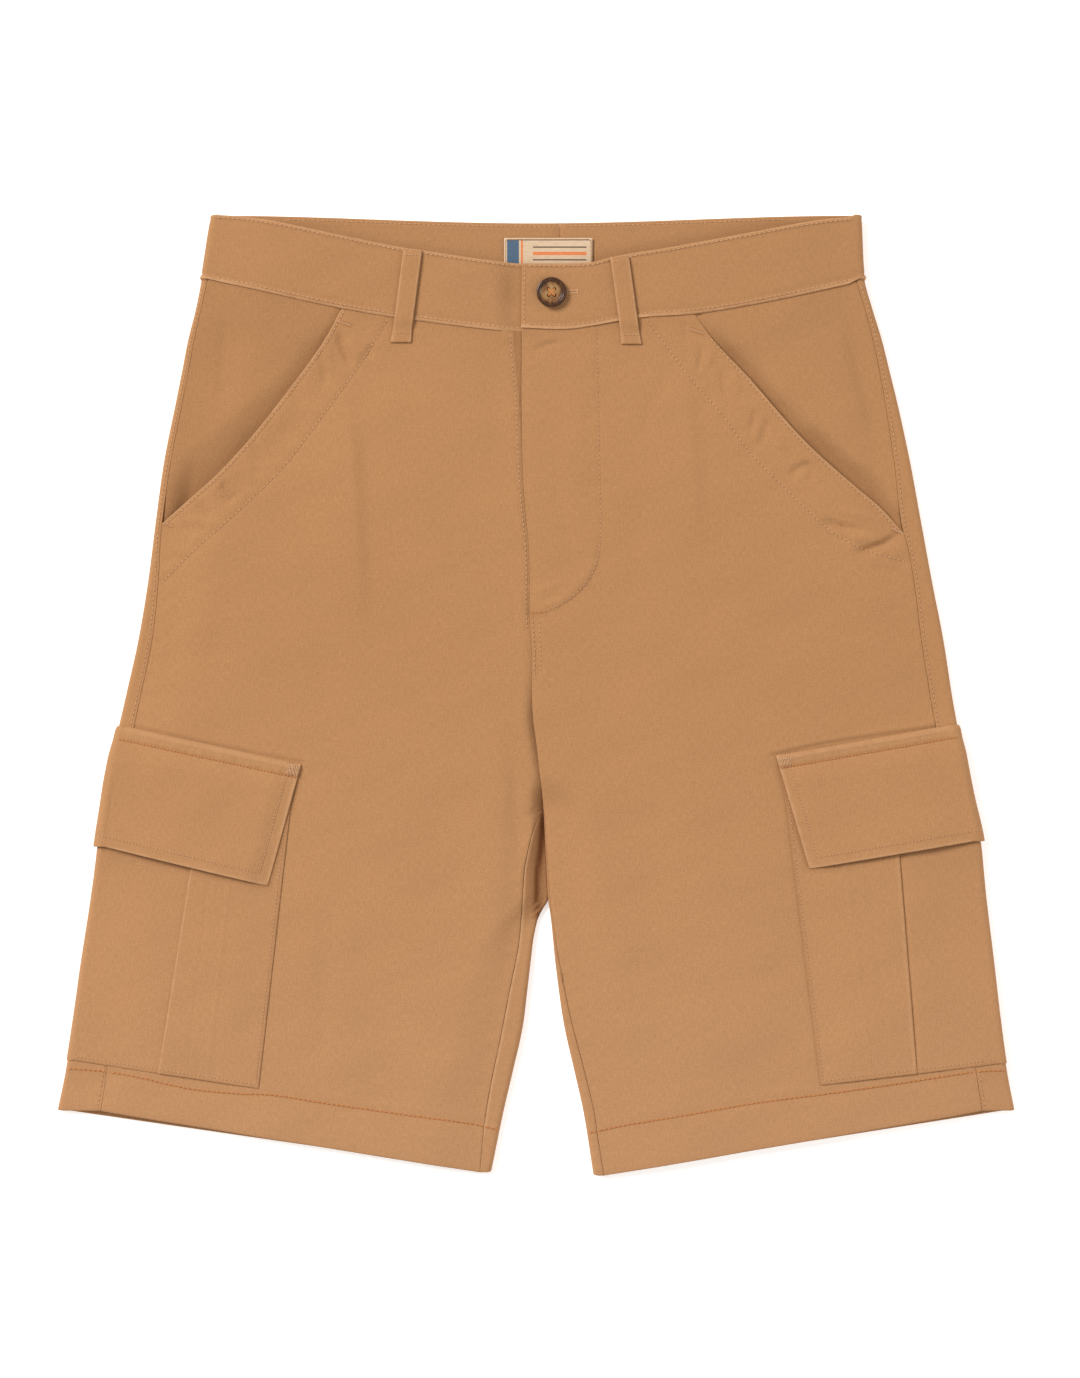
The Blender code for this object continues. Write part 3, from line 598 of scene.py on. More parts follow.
    mouth_creases: dict[Side, tuple[Crease, ...]] = halves(
        ridges(
            (-119, 222, -107.5, 195, 1.8, -0.8, 2.0, 2.6), (-113, 216, -104, 201, 2.2, 0.4),
            (-128.5, 218, -121, 198, 2.0, 0.35, 1.0), (-131, 206, -126, 184, 2.4, -0.45, -1.5),
            (-98.5, 212, -100, 200, 2.6, -0.35), (-145, 190, -139, 170, 3.2, -0.22, 1.5),
            (-156, 172, -152, 156, 2.6, 0.2), (-170, 152, -163, 137, 2.2, -0.3, 1.0),
            (-176, 140, -170, 124, 2.4, 0.25, -1.0), (-188, 130, -182.5, 115, 1.7, -0.65, 1.5),
            (-193, 127, -187, 118, 1.8, 0.35), (-178, 122, -186, 112, 1.8, -0.35, 1.0),
            (-204, 116, -195, 105, 1.7, -0.6, 1.0), (-209, 108, -199, 101, 1.8, 0.4),
            (-214, 103, -203, 96, 2.0, -0.35),
        ),
        ridges(
            (99.5, 213, 96, 192, 2.0, -0.5, -1.0), (88, 226, 91, 212, 2.0, -0.35),
            (106, 210, 103, 196, 2.2, 0.3), (112, 199, 115.5, 176, 2.2, -0.5, 1.5),
            (118, 194, 122, 178, 2.2, 0.35), (131.5, 173, 127.5, 157, 1.9, -0.55, -1.0),
            (139, 168, 134.5, 150, 2.0, -0.5, -1.0), (134, 164, 130, 150, 1.8, 0.35),
            (147, 158, 146, 146, 2.0, 0.3), (157, 150, 162, 136, 2.4, 0.25),
            (150, 130, 168.5, 139, 1.9, -0.9, -2.5, 2.8), (163, 126, 166, 137, 1.6, -0.5),
            (170, 106.2, 200, 99.2, 1.6, -1.3, 1.5, 2.6), (178, 112, 204, 106, 2.2, 0.5),
            (188, 85, 221, 99, 1.8, -1.3, 2.0, 3.0), (171, 97, 190, 92, 2.0, -0.3),
            (186, 96, 214, 92, 2.4, 0.4), (200, 78, 220, 72, 2.4, -0.3),
        ),
    )
    back_creases: tuple[Crease, ...] = ridges(
        (-60, 190, -80, 20, 18.0, -0.6, 4.0), (70, 180, 60, 30, 16.0, -0.6, -3.0),
        (-150, 60, -170, -120, 18.0, -0.5, 3.0), (140, 80, 150, -60, 17.0, -0.5, 3.0),
    )
    unevenness: Undulation = Undulation()

    def lift(self, side: Side, x: Array, y: Array) -> Array:
        """How high the back layer's outer face stands over what lies under it.

        Args:
            side: The half of the garment.
            x: Places across.
            y: Places along the garment.

        Returns:
            The height over the resting plane.
        """
        inset = np.abs(self.edges[side](y) - x)
        cargo = self.lifts(y) * (1.0 - smooth((inset - self.cargo_wrap - 30.0) / 22.0))
        below = self.back_top(x) - self.band_height - np.asarray(y)
        band = self.band_lift * (1.0 - smooth((below - 21.0) / 38.0))
        return np.maximum(cargo, band)

    def back_top(self, x: Array) -> Array:
        """The back waistband's upper edge, which sags a little between the side folds."""
        return 288.9 - 4.6 * np.cos(np.pi * np.minimum(np.abs(x) / 390.0, 0.5)) ** 2

    def rolled(
        self, inset: Array, radius: Array, low: Array, high: Array, shoulder: Array
    ) -> Array:
        """The height of a layer that comes over a fold and rises to full height behind it.

        Args:
            inset: The distance from the fold's outermost line.
            radius: The fold's radius.
            low: The underside's height at the fold.
            high: The layer's full height.
            shoulder: How far from the fold it takes to rise.

        Returns:
            The outer face's height.
        """
        inset = np.maximum(inset, 0.0)
        arc = low + radius + np.sqrt(np.maximum(radius**2 - np.maximum(radius - inset, 0) ** 2, 0))
        rise = mix(low + 2 * radius, high, smooth((inset - radius) / shoulder))
        return np.where(inset < radius, arc, rise)

    def front(self, side: Side, x: Array, y: Array, relief: bool = True) -> Array:
        """How high the front layer's outer face stands.

        Args:
            side: The half of the garment.
            x: Places across.
            y: Places along the garment.
            relief: Whether the creases and the unevenness count.

        Returns:
            The height over the resting plane.
        """
        x, y = np.asarray(x, float), np.asarray(y, float)
        edge = self.edges[side](y)
        inset = np.abs(edge - x)
        high = self.heights(y)
        if relief:
            fade = smooth(inset / 26.0) * smooth(np.abs(self.waist_seams[side](x) - y) / 9.0)
            high = high + fade * sum(crease.relief(x, y) for crease in self.creases)
            high = high + fade * self.unevenness.relief(x, y)
        outer = self.rolled(inset, self.fold_radius, self.lift(side, edge, y), high, self.shoulder)
        start = -50.0 if side is Side.RIGHT else -48.0
        valley = smooth((start - y) / (start - self.crotch_y))
        middle = np.where(y <= self.crotch_y, self.inner_edges[side](y), self.fronts[side](y))
        inset_in = np.maximum(side.sign * (x - middle), 0.0)
        if side is Side.RIGHT:
            high = high - self.pinch(y) * bell(inset_in, 3.0)
        inner = self.rolled(
            inset_in, self.inner_radii[side](y), 0.0, high, self.inner_shoulders[side](y)
        )
        return np.minimum(outer, mix(high, inner, valley))

    def fold_x(self, side: Side, y: Array, angle: Array, offset: Array) -> Array:
        """Where a point on the outer fold lies across.

        Args:
            side: The half of the garment.
            y: Places along the garment.
            angle: Degrees round the fold: 90 on top and -90 underneath.
            offset: How far out of the cloth it lies.

        Returns:
            The place, in millimetres.
        """
        reach = self.fold_radius + offset
        return self.edges[side](y) + side.sign * (
            reach * np.cos(np.radians(angle)) - self.fold_radius
        )

    def fold_z(self, side: Side, y: Array, angle: Array, offset: Array) -> Array:
        """How high a point on the outer fold lies."""
        low = self.lift(side, self.edges[side](y), y)
        return low + self.fold_radius + (self.fold_radius + offset) * np.sin(np.radians(angle))


class Rim(Enum):
    """The four rims of a piece's grid."""

    START = "first column"
    END = "last column"
    TOP = "first row"
    FOOT = "last row"


ALL_RIMS = tuple(Rim)
RIM_STEPS = (0.0, 0.22, 0.55, 1.0, 1.7, 2.9)


def deselect() -> None:
    """Leaves nothing selected, in object mode."""
    if bpy.context.mode != "OBJECT":
        bpy.ops.object.mode_set(mode="OBJECT")
    bpy.ops.object.select_all(action="DESELECT")


def spaced(
    length: Array,
    count: int,
    start: bool = True,
    end: bool = True,
    steps: Sequence[float] = RIM_STEPS,
) -> Array:
    """Places along rows of cloth, close together at the rims that roll.

    Args:
        length: The rows' lengths in millimetres.
        count: How many steps the middle has.
        start: Whether the first rim has the close places.
        end: Whether the last rim has them.
        steps: How far from a rim the close places lie.

    Returns:
        One row of places for each length, in millimetres from the row's start.
    """
    length = np.atleast_1d(np.asarray(length, float))[:, None]
    fine = np.array(steps)
    first = fine if start else np.zeros(1)
    last = fine[::-1] if end else np.zeros(1)
    t = np.linspace(0.0, 1.0, count + 1)[None, 1:-1]
    middle = mix(first[-1], length - last[0], t)
    ones = np.ones_like(length)
    return np.concatenate([first[None] * ones, middle, length - last[None]], axis=1)


@dataclass(frozen=True)
class Face:
    """Places in rows and columns on one face of a piece, in millimetres.

    turn is 1 where rows crossed with columns point out of the cloth, and -1 where they point in.
    """

    points: Array
    turn: float = 1.0

    def runs(self, axis: int) -> Array:
        """The length walked along an axis to each place.

        Args:
            axis: 0 to walk down the rows, 1 to walk along them.

        Returns:
            The lengths, in rows and columns.
        """
        steps = np.linalg.norm(np.diff(self.points, axis=axis), axis=2)
        start = np.zeros_like(np.take(steps, [0], axis=axis))
        return np.concatenate([start, np.cumsum(steps, axis=axis)], axis=axis)

    def normals(self) -> Array:
        """The outward direction at each place.

        Returns:
            Unit vectors, in rows and columns.
        """
        across = np.gradient(self.points, axis=1)
        along = np.gradient(self.points, axis=0)
        out = self.turn * np.cross(along, across)
        return out / np.maximum(np.linalg.norm(out, axis=2, keepdims=True), 1e-9)

    def from_rims(self, rims: Sequence[Rim]) -> Array:
        """The distance of each place from the nearest of these rims.

        Args:
            rims: The rims.

        Returns:
            The distances in millimetres.
        """
        across, along = self.runs(1), self.runs(0)
        found = np.full(self.points.shape[:2], 1e9)
        reaches = {
            Rim.START: across,
            Rim.END: across[:, -1:] - across,
            Rim.TOP: along,
            Rim.FOOT: along[-1:] - along,
        }
        for rim in rims:
            found = np.minimum(found, reaches[rim])
        return found

    def moved_out(self, distance: Array) -> "Face":
        """The face moved along its normals by a distance at each place."""
        return Face(self.points + self.normals() * np.asarray(distance)[..., None], self.turn)

    def rolled(self, rims: Sequence[Rim], radius: float) -> "Face":
        """The face with these rims rolled inwards, as the edge of folded cloth is."""
        left = np.clip(radius - self.from_rims(rims), 0.0, radius)
        return self.moved_out(-(radius - np.sqrt(radius**2 - left**2)))

    def flat_map(self) -> Array:
        """Where each place lies on the flat cut, in metres: length along the row, and y.

        Returns:
            An array of (u, v), in rows and columns.
        """
        across = self.runs(1)
        start = self.points[:, :1, 0]
        direction = np.sign(self.points[:, -1:, 0] - start + 1e-9)
        u = start + direction * across
        return np.stack([u, self.points[..., 1]], axis=2) * MM

    def grid(self, name: str) -> Piece:
        """A grid primitive shaped to the face, with the flat cut as its UV map.

        Args:
            name: The new piece's name.

        Returns:
            The object, selected and active.
        """
        step = -1 if self.turn > 0 else 1
        points, flat = self.points[:, ::step], self.flat_map()[:, ::step]
        rows, columns = points.shape[:2]
        deselect()
        bpy.ops.mesh.primitive_grid_add(
            x_subdivisions=columns - 1, y_subdivisions=rows - 1, size=1.0, calc_uvs=True
        )
        obj = bpy.context.object
        obj.name = obj.data.name = name
        obj.data.vertices.foreach_set("co", (points * MM).ravel())
        corners = np.empty(len(obj.data.loops), np.int32)
        obj.data.loops.foreach_get("vertex_index", corners)
        obj.data.uv_layers[0].data.foreach_set("uv", flat.reshape(-1, 2)[corners].ravel())
        obj.data.update()
        return obj


def activate(obj: Piece) -> None:
    """Selects one piece alone and makes it the active one.

    Args:
        obj: The piece.
    """
    deselect()
    obj.select_set(True)
    bpy.context.view_layer.objects.active = obj


def shade(obj: Piece, angle: float = 55.0) -> None:
    """Shades a piece smooth, with edges sharper than the angle kept crisp."""
    activate(obj)
    bpy.ops.object.shade_smooth_by_angle(angle=math.radians(angle))


def apply_modifiers(obj: Piece) -> None:
    """Applies every modifier of a piece in order.

    Args:
        obj: The piece.
    """
    activate(obj)
    for modifier in list(obj.modifiers):
        bpy.ops.object.modifier_apply(modifier=modifier.name)


def panel(name: str, face: Face, wall: float, bare: Optional[Array] = None) -> Piece:
    """A single layer of cloth whose wall lies inside its outer face.

    Args:
        name: The piece's name.
        face: The outer face.
        wall: The cloth's thickness in millimetres.
        bare: Which of the grid's cells have no cloth, if any.

    Returns:
        The finished mesh object.
    """
    obj = face.grid(name)
    if bare is not None:
        cells = bare[:, :: -1 if face.turn > 0 else 1]
        bpy.ops.object.mode_set(mode="EDIT")
        bpy.ops.mesh.select_mode(type="FACE")
        bpy.ops.mesh.select_all(action="DESELECT")
        bpy.ops.object.mode_set(mode="OBJECT")
        obj.data.polygons.foreach_set("select", cells.ravel())
        bpy.ops.object.mode_set(mode="EDIT")
        bpy.ops.mesh.delete(type="FACE")
        bpy.ops.object.mode_set(mode="OBJECT")
    solid = obj.modifiers.new("wall", "SOLIDIFY")
    solid.thickness = wall * MM
    solid.offset = -1.0
    apply_modifiers(obj)
    shade(obj)
    return obj


def folded_piece(name: str, middle: Face, half: float, rims: Sequence[Rim] = ALL_RIMS) -> Piece:
    """A piece sewn from two layers with turned edges: both faces, closed round every rim.

    Args:
        name: The piece's name.
        middle: The surface halfway between its faces.
        half: Half its thickness in millimetres.
        rims: The rims that are rounded; the others end square.

    Returns:
        The finished mesh object.
    """
    left = np.clip(half - middle.from_rims(rims), 0.0, half)
    depth = np.sqrt(half**2 - left**2)
    normals = middle.normals()
    outer = Face(middle.points + normals * depth[..., None], middle.turn)
    inner = Face(middle.points - normals * depth[..., None], -middle.turn)
    back = inner.grid(name + "_back")
    obj = outer.grid(name)
    back.select_set(True)
    bpy.context.view_layer.objects.active = obj
    bpy.ops.object.join()
    bpy.ops.object.mode_set(mode="EDIT")
    bpy.ops.mesh.select_all(action="SELECT")
    bpy.ops.mesh.remove_doubles(threshold=0.00001)
    bpy.ops.object.mode_set(mode="OBJECT")
    shade(obj, 75.0)
    return obj


class NodeBoard:
    """A material's node tree, with short ways to add and join nodes."""

    def __init__(self, name: str) -> None:
        """Makes a material with a bare Principled shader.

        Args:
            name: The material's name.
        """
        self.material = bpy.data.materials.new(name)
        self.material.use_nodes = True
        self.tree = self.material.node_tree
        self.shader = self.tree.nodes["Principled BSDF"]

    def add(self, kind: str, settings: Optional[dict] = None, **inputs: object) -> Node:
        """Adds a node.

        Args:
            kind: The node's type, without its prefix.
            settings: The node's own properties.
            inputs: Values or output sockets for its inputs, by name with _ for a space.

        Returns:
            The node.
        """
        node = self.tree.nodes.new("ShaderNode" + kind)
        for key, value in (settings or {}).items():
            setattr(node, key, value)
        self.join_all(inputs, node)
        return node

    def join_all(self, inputs: dict[str, object], node: Node) -> None:
        """Joins values or sockets to a node's inputs, by name with _ for a space."""
        for key, value in inputs.items():
            self.join(value, node.inputs[key.replace("_", " ")])

    def finish(self, **inputs: object) -> Material:
        """Sets the shader's inputs and gives the material."""
        self.join_all(inputs, self.shader)
        return self.material

    def join(self, value: object, socket: Socket) -> None:
        """Links an output to a socket, or sets the socket's value.

        Args:
            value: The output or the value.
            socket: The input.
        """
        if isinstance(value, Socket):
            self.tree.links.new(value, socket)
        else:
            socket.default_value = value

    def noise(
        self, place: Socket, scale: float, stretch: Place = (1, 1, 1), detail: float = 3.0
    ) -> Socket:
        """A noise pattern, stretched by dividing its frequency along an axis.

        Args:
            place: The coordinates it reads.
            scale: Its frequency, per metre.
            stretch: Factors on the coordinates.
            detail: The number of finer octaves.

        Returns:
            The noise's value, from 0 to 1.
        """
        mapped = self.add("Mapping", None, Vector=place, Scale=stretch)
        made = self.add("TexNoise", None, Vector=mapped.outputs[0], Scale=scale, Detail=detail)
        return made.outputs["Fac"]

    def between(
        self, factor: Socket, low: float, high: float, to_low: float = 0.0, to_high: float = 1.0
    ) -> Socket:
        """A value taken from one range to another and clamped.

        Args:
            factor: The value.
            low: Where the range starts.
            high: Where it ends.
            to_low: Where the new range starts.
            to_high: Where it ends.

        Returns:
            The new value.
        """
        made = self.add("MapRange", None, Value=factor)
        for socket, value in zip(made.inputs[1:5], (low, high, to_low, to_high)):
            socket.default_value = value
        return made.outputs[0]

    def tint(self, factor: Socket, base: object, other: object, blend: str = "MIX") -> Socket:
        """A mix of two colours by a factor.

        Args:
            factor: The share of the other colour.
            base: The first colour.
            other: The other colour.
            blend: How they are mixed.

        Returns:
            The mixed colour.
        """
        made = self.add("Mix", {"data_type": "RGBA", "blend_type": blend})
        self.join(factor, made.inputs[0])
        self.join(base, made.inputs[6])
        self.join(other, made.inputs[7])
        return made.outputs[2]

    def bump(
        self, height: Socket, distance: float, strength: float, under: Optional[Socket] = None
    ) -> Socket:
        """A bump in metres, over another one if given.

        Args:
            height: The pattern of the height.
            distance: The height in metres.
            strength: How strongly it counts.
            under: The bump under it, if any.

        Returns:
            The bent normal.
        """
        made = self.add("Bump", None, Height=height, Distance=distance, Strength=strength)
        if under is not None:
            self.join(under, made.inputs["Normal"])
        return made.outputs[0]


def rgba(colour: Colour, share: float = 1.0) -> tuple[float, float, float, float]:
    """A colour with full alpha, brightened by a share."""
    return (colour[0] * share, colour[1] * share, colour[2] * share, 1.0)


@dataclass(frozen=True)
class TwillFinish:
    """Garment-washed cotton twill: a fine diagonal weave, slubs, soft mottling, worn edges, and light and shade
    painted into its colour.
    """

    name: str = "sand_twill"
    colour: Colour = (0.452, 0.2325, 0.1045)
    leg_colour: Colour = (0.494, 0.263, 0.130)
    # The pale colour stands for worn edges and for painted highlights; the dark one is painted shade.
    worn: Colour = (0.64, 0.385, 0.215)
    unfaded: Colour = (0.36, 0.25, 0.17)
    weave: float = 0.0011
    depth: float = 0.00016

    def material(self) -> Material:
        """The cloth's material.

        Returns:
            The material.
        """
        board = NodeBoard(self.name)
        spots = board.add("TexCoord")
        flat, solid = spots.outputs["UV"], spots.outputs["Object"]
        slubs = board.noise(flat, 1150.0, (1.0, 0.22, 1.0), 1.5)
        picks = board.noise(flat, 1000.0, (0.3, 1.0, 1.0), 1.5)
        grain = board.noise(flat, 1300.0, (1.0, 1.0, 1.0), 2.0)
        wash = board.noise(solid, 30.0, (1.0, 0.7, 1.0), 4.0)
        blotch = board.noise(solid, 9.0, (1.0, 1.0, 1.0), 2.0)
        along = board.add("SeparateXYZ", None, Vector=solid).outputs["Y"]
        base = board.tint(
            board.between(along, 0.02, -0.30), rgba(self.colour), rgba(self.leg_colour)
        )
        for pattern, span, shade_of in (
            (along, (0.18, 0.25), (0.965, 0.965, 0.975, 1)),
            (wash, (0.25, 0.75, 0.0, 0.5), (1.05, 1.04, 1.02, 1)),
            (blotch, (0.3, 0.7, 0.0, 0.6), (0.965, 0.955, 0.95, 1)),
            (slubs, (0.35, 0.7), (0.915, 0.905, 0.885, 1)),
            (picks, (0.35, 0.7), (0.95, 0.94, 0.93, 1)),
            (grain, (0.3, 0.75), (0.86, 0.845, 0.815, 1)),
        ):
            base = board.tint(board.between(pattern, *span), base, shade_of, "MULTIPLY")
        # Above 0 the attribute pales the cloth for worn edges and painted highlights; below 0 it darkens it with
        # painted shade and painted shadow.
        wear_and_painted_light = board.add("Attribute", {"attribute_name": "wear_and_painted_light"}).outputs["Fac"]
        highlight_and_wear_share = board.add("Math", {"operation": "MULTIPLY"})
        board.join(board.between(wear_and_painted_light, 0.0, 1.0), highlight_and_wear_share.inputs[0])
        board.join(board.between(board.noise(flat, 170.0), 0.3, 0.65, 0.4, 1.0), highlight_and_wear_share.inputs[1])
        base = board.tint(highlight_and_wear_share.outputs[0], base, rgba(self.worn))
        base = board.tint(board.between(wear_and_painted_light, 0.0, -1.0), base, rgba(self.unfaded), "MULTIPLY")
        slanted = board.add("Mapping", None, Vector=flat, Rotation=(0, 0, math.radians(-58)))
        wales = board.add(
            "TexWave",
            {"wave_type": "BANDS", "bands_direction": "X", "wave_profile": "SIN"},
            Vector=slanted.outputs[0],
            Scale=0.314 / self.weave,
            Distortion=1.2,
            Detail=2.0,
            Detail_Scale=1.5,
        )
        relief = board.bump(wales.outputs["Fac"], self.depth, 0.35)
        relief = board.bump(grain, self.depth, 0.5, relief)
        relief = board.bump(slubs, self.depth, 0.5, relief)
        relief = board.bump(board.noise(flat, 60.0, detail=4.0), 0.0009, 0.35, relief)
        return board.finish(
            Base_Color=base,
            Normal=relief,
            Roughness=0.88,
            Specular_IOR_Level=0.12,
            Sheen_Weight=0.06,
            Sheen_Roughness=0.5,
            Sheen_Tint=(1.0, 0.86, 0.70, 1.0),
        )


@dataclass(frozen=True)
class ThreadFinish:
    """Spun polyester sewing thread, twisted and slightly glossy."""

    name: str
    colour: Colour

    def material(self) -> Material:
        """The thread's material.

        Returns:
            The material.
        """
        board = NodeBoard(self.name)
        spots = board.add("TexCoord")
        fleck = board.noise(spots.outputs["Object"], 900.0, detail=2.0)
        base = board.tint(fleck, rgba(self.colour, 0.8), rgba(self.colour, 1.15))
        waves = {"wave_type": "BANDS", "bands_direction": "DIAGONAL"}
        twist = board.add("TexWave", waves, Vector=spots.outputs["Object"], Scale=700.0)
        relief = board.bump(twist.outputs["Fac"], 0.00008, 0.5)
        return board.finish(Base_Color=base, Normal=relief, Roughness=0.55, Sheen_Weight=0.1)


@dataclass(frozen=True)
class HornFinish:
    """Polished mottled horn, dark at the rim and honey brown in the dish."""

    name: str = "mottled_horn"
    centre: Point = (9.3, 241.3)
    radius: float = 8.9

    def material(self) -> Material:
        """The button's material.

        Returns:
            The material.
        """
        board = NodeBoard(self.name)
        spots = board.add("TexCoord")
        centred = board.add(
            "Mapping",
            None,
            Vector=spots.outputs["Object"],
            Location=(-self.centre[0] * MM, -self.centre[1] * MM, 0.0),
            Scale=(1.0, 1.0, 0.0),
        )
        radius = board.add(
            "VectorMath", {"operation": "LENGTH"}, Vector=centred.outputs[0]
        ).outputs["Value"]
        flakes = board.noise(centred.outputs[0], 260.0, (1.0, 0.55, 1.0), 3.0)
        uneven = board.add("Math", {"operation": "ADD"})
        board.join(radius, uneven.inputs[0])
        board.join(board.between(flakes, 0.3, 0.7, -0.0009, 0.0009), uneven.inputs[1])
        ramp = board.add(
            "ValToRGB", None, Fac=board.between(uneven.outputs[0], 0.0, self.radius * MM)
        )
        stops = ramp.color_ramp.elements
        stops[0].position, stops[0].color = 0.35, (0.36, 0.205, 0.085, 1)
        stops[1].position, stops[1].color = 0.92, (0.055, 0.021, 0.008, 1)
        for place, colour in ((0.6, (0.27, 0.135, 0.05, 1)), (0.74, (0.10, 0.04, 0.014, 1))):
            stops.new(place).color = colour
        base = board.tint(
            board.between(flakes, 0.42, 0.62), ramp.outputs[0], (0.62, 0.52, 0.46, 1), "MULTIPLY"
        )
        return board.finish(
            Base_Color=base,
            Roughness=0.3,
            Specular_IOR_Level=0.3,
            Coat_Weight=0.2,
            Coat_Roughness=0.1,
        )


@dataclass(frozen=True)
class LabelFinish:
    """Woven satin in one plain colour, with a rib across."""

    name: str
    colour: Colour

    def material(self) -> Material:
        """The woven material.

        Returns:
            The material.
        """
        board = NodeBoard(self.name)
        spots = board.add("TexCoord")
        ribs = board.noise(spots.outputs["Object"], 900.0, (0.25, 1.0, 1.0), 1.0)
        base = board.tint(ribs, rgba(self.colour, 0.82), rgba(self.colour, 1.12))
        relief = board.bump(ribs, 0.0001, 0.6)
        return board.finish(Base_Color=base, Normal=relief, Roughness=0.7, Sheen_Weight=0.1)


@dataclass(frozen=True)
class Finishes:
    """Every finish of the garment, made once."""

    twill: Material
    threads: dict[Thread, Material]
    tape: Material
    horn: Material
    label: tuple[Material, ...]

    @classmethod
    def make(cls) -> "Finishes":
        """Makes every finish.

        Returns:
            The finishes.
        """
        return cls(
            twill=TwillFinish().material(),
            threads={
                thread: ThreadFinish(name, colour).material()
                for thread, name, colour in (
                    (Thread.TONAL, "tonal_thread", (0.55, 0.30, 0.14)),
                    (Thread.RUST, "rust_thread", (0.52, 0.185, 0.038)),
                    (Thread.PALE, "pale_thread", (0.56, 0.32, 0.16)),
                    # The needle holes' dark colour is painted shade.
                    (Thread.HOLE, "needle_hole", (0.28, 0.125, 0.05)),
                )
            },
            # Dark brown, and darker still as painted shade for the fly's slit, where the tape shows.
            tape=LabelFinish("zip_tape_weave", (0.30, 0.145, 0.062)).material(),
            horn=HornFinish().material(),
            label=tuple(
                LabelFinish(name, colour).material()
                for name, colour in (
                    ("label_cream", (0.60, 0.44, 0.29)),
                    ("label_blue", (0.055, 0.105, 0.17)),
                    ("label_orange", (0.66, 0.19, 0.06)),
                    ("label_brown", (0.10, 0.05, 0.03)),
                )
            ),
        )


def dress(obj: Piece, finish: Material, slot: Optional[str] = None) -> Piece:
    """Gives a piece its one finish and lets it ride on the garment.

    Args:
        obj: The piece.
        finish: Its material.
        slot: The record's material slot, if it has one.

    Returns:
        The piece.
    """
    obj.data.materials.clear()
    obj.data.materials.append(finish)
    if slot:
        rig.slot(obj, slot)
    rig.ride(obj, BODY)
    return obj


def weather(obj: Piece, wear_and_painted_light: Surface) -> Piece:
    """Marks, place by place, how pale a piece of cloth is painted for wear and highlights, and how dark for painted
    shade.

    Args:
        obj: The piece.
        wear_and_painted_light: Its value by place: up to 1 where it is painted pale for wear and highlights, down to
            -1 where painted shade darkens it.

    Returns:
        The piece.
    """
    flat = np.empty(3 * len(obj.data.vertices))
    obj.data.vertices.foreach_get("co", flat)
    places = flat.reshape(-1, 3) / MM
    layer = obj.data.attributes.new("wear_and_painted_light", "FLOAT", "POINT")
    layer.data.foreach_set("value", wear_and_painted_light(places[:, 0], places[:, 1]).astype(np.float32))
    return obj


@dataclass(frozen=True)
class StitchRow:
    """A row of lockstitches along a line on a piece."""

    line: Polyline
    thread: Thread = Thread.TONAL
    pitch: float = 2.9
    length: float = 2.0
    thickness: float = 0.55
    crosswise: bool = False
    proud: float = 0.12


def height_on(cloth: Piece) -> Surface:
    """How high a piece's top stands at each place, found by dropping a plumb line on it.

    Args:
        cloth: The piece.

    Returns:
        A function of places across and along, in millimetres; it gives NaN beside the piece.
    """
    tree = BVHTree.FromObject(cloth, bpy.context.evaluated_depsgraph_get())

    def height(x: Array, y: Array) -> Array:
        """The top's height at each place.

        Args:
            x: Places across.
            y: Places along the garment.

        Returns:
            The heights in millimetres.
        """
        hits = [
            tree.ray_cast(Vector((a * MM, b * MM, 0.1)), Vector((0.0, 0.0, -1.0)))[0]
            for a, b in zip(x, y)
        ]
        return np.array([hit.z / MM if hit is not None else np.nan for hit in hits])

    return height


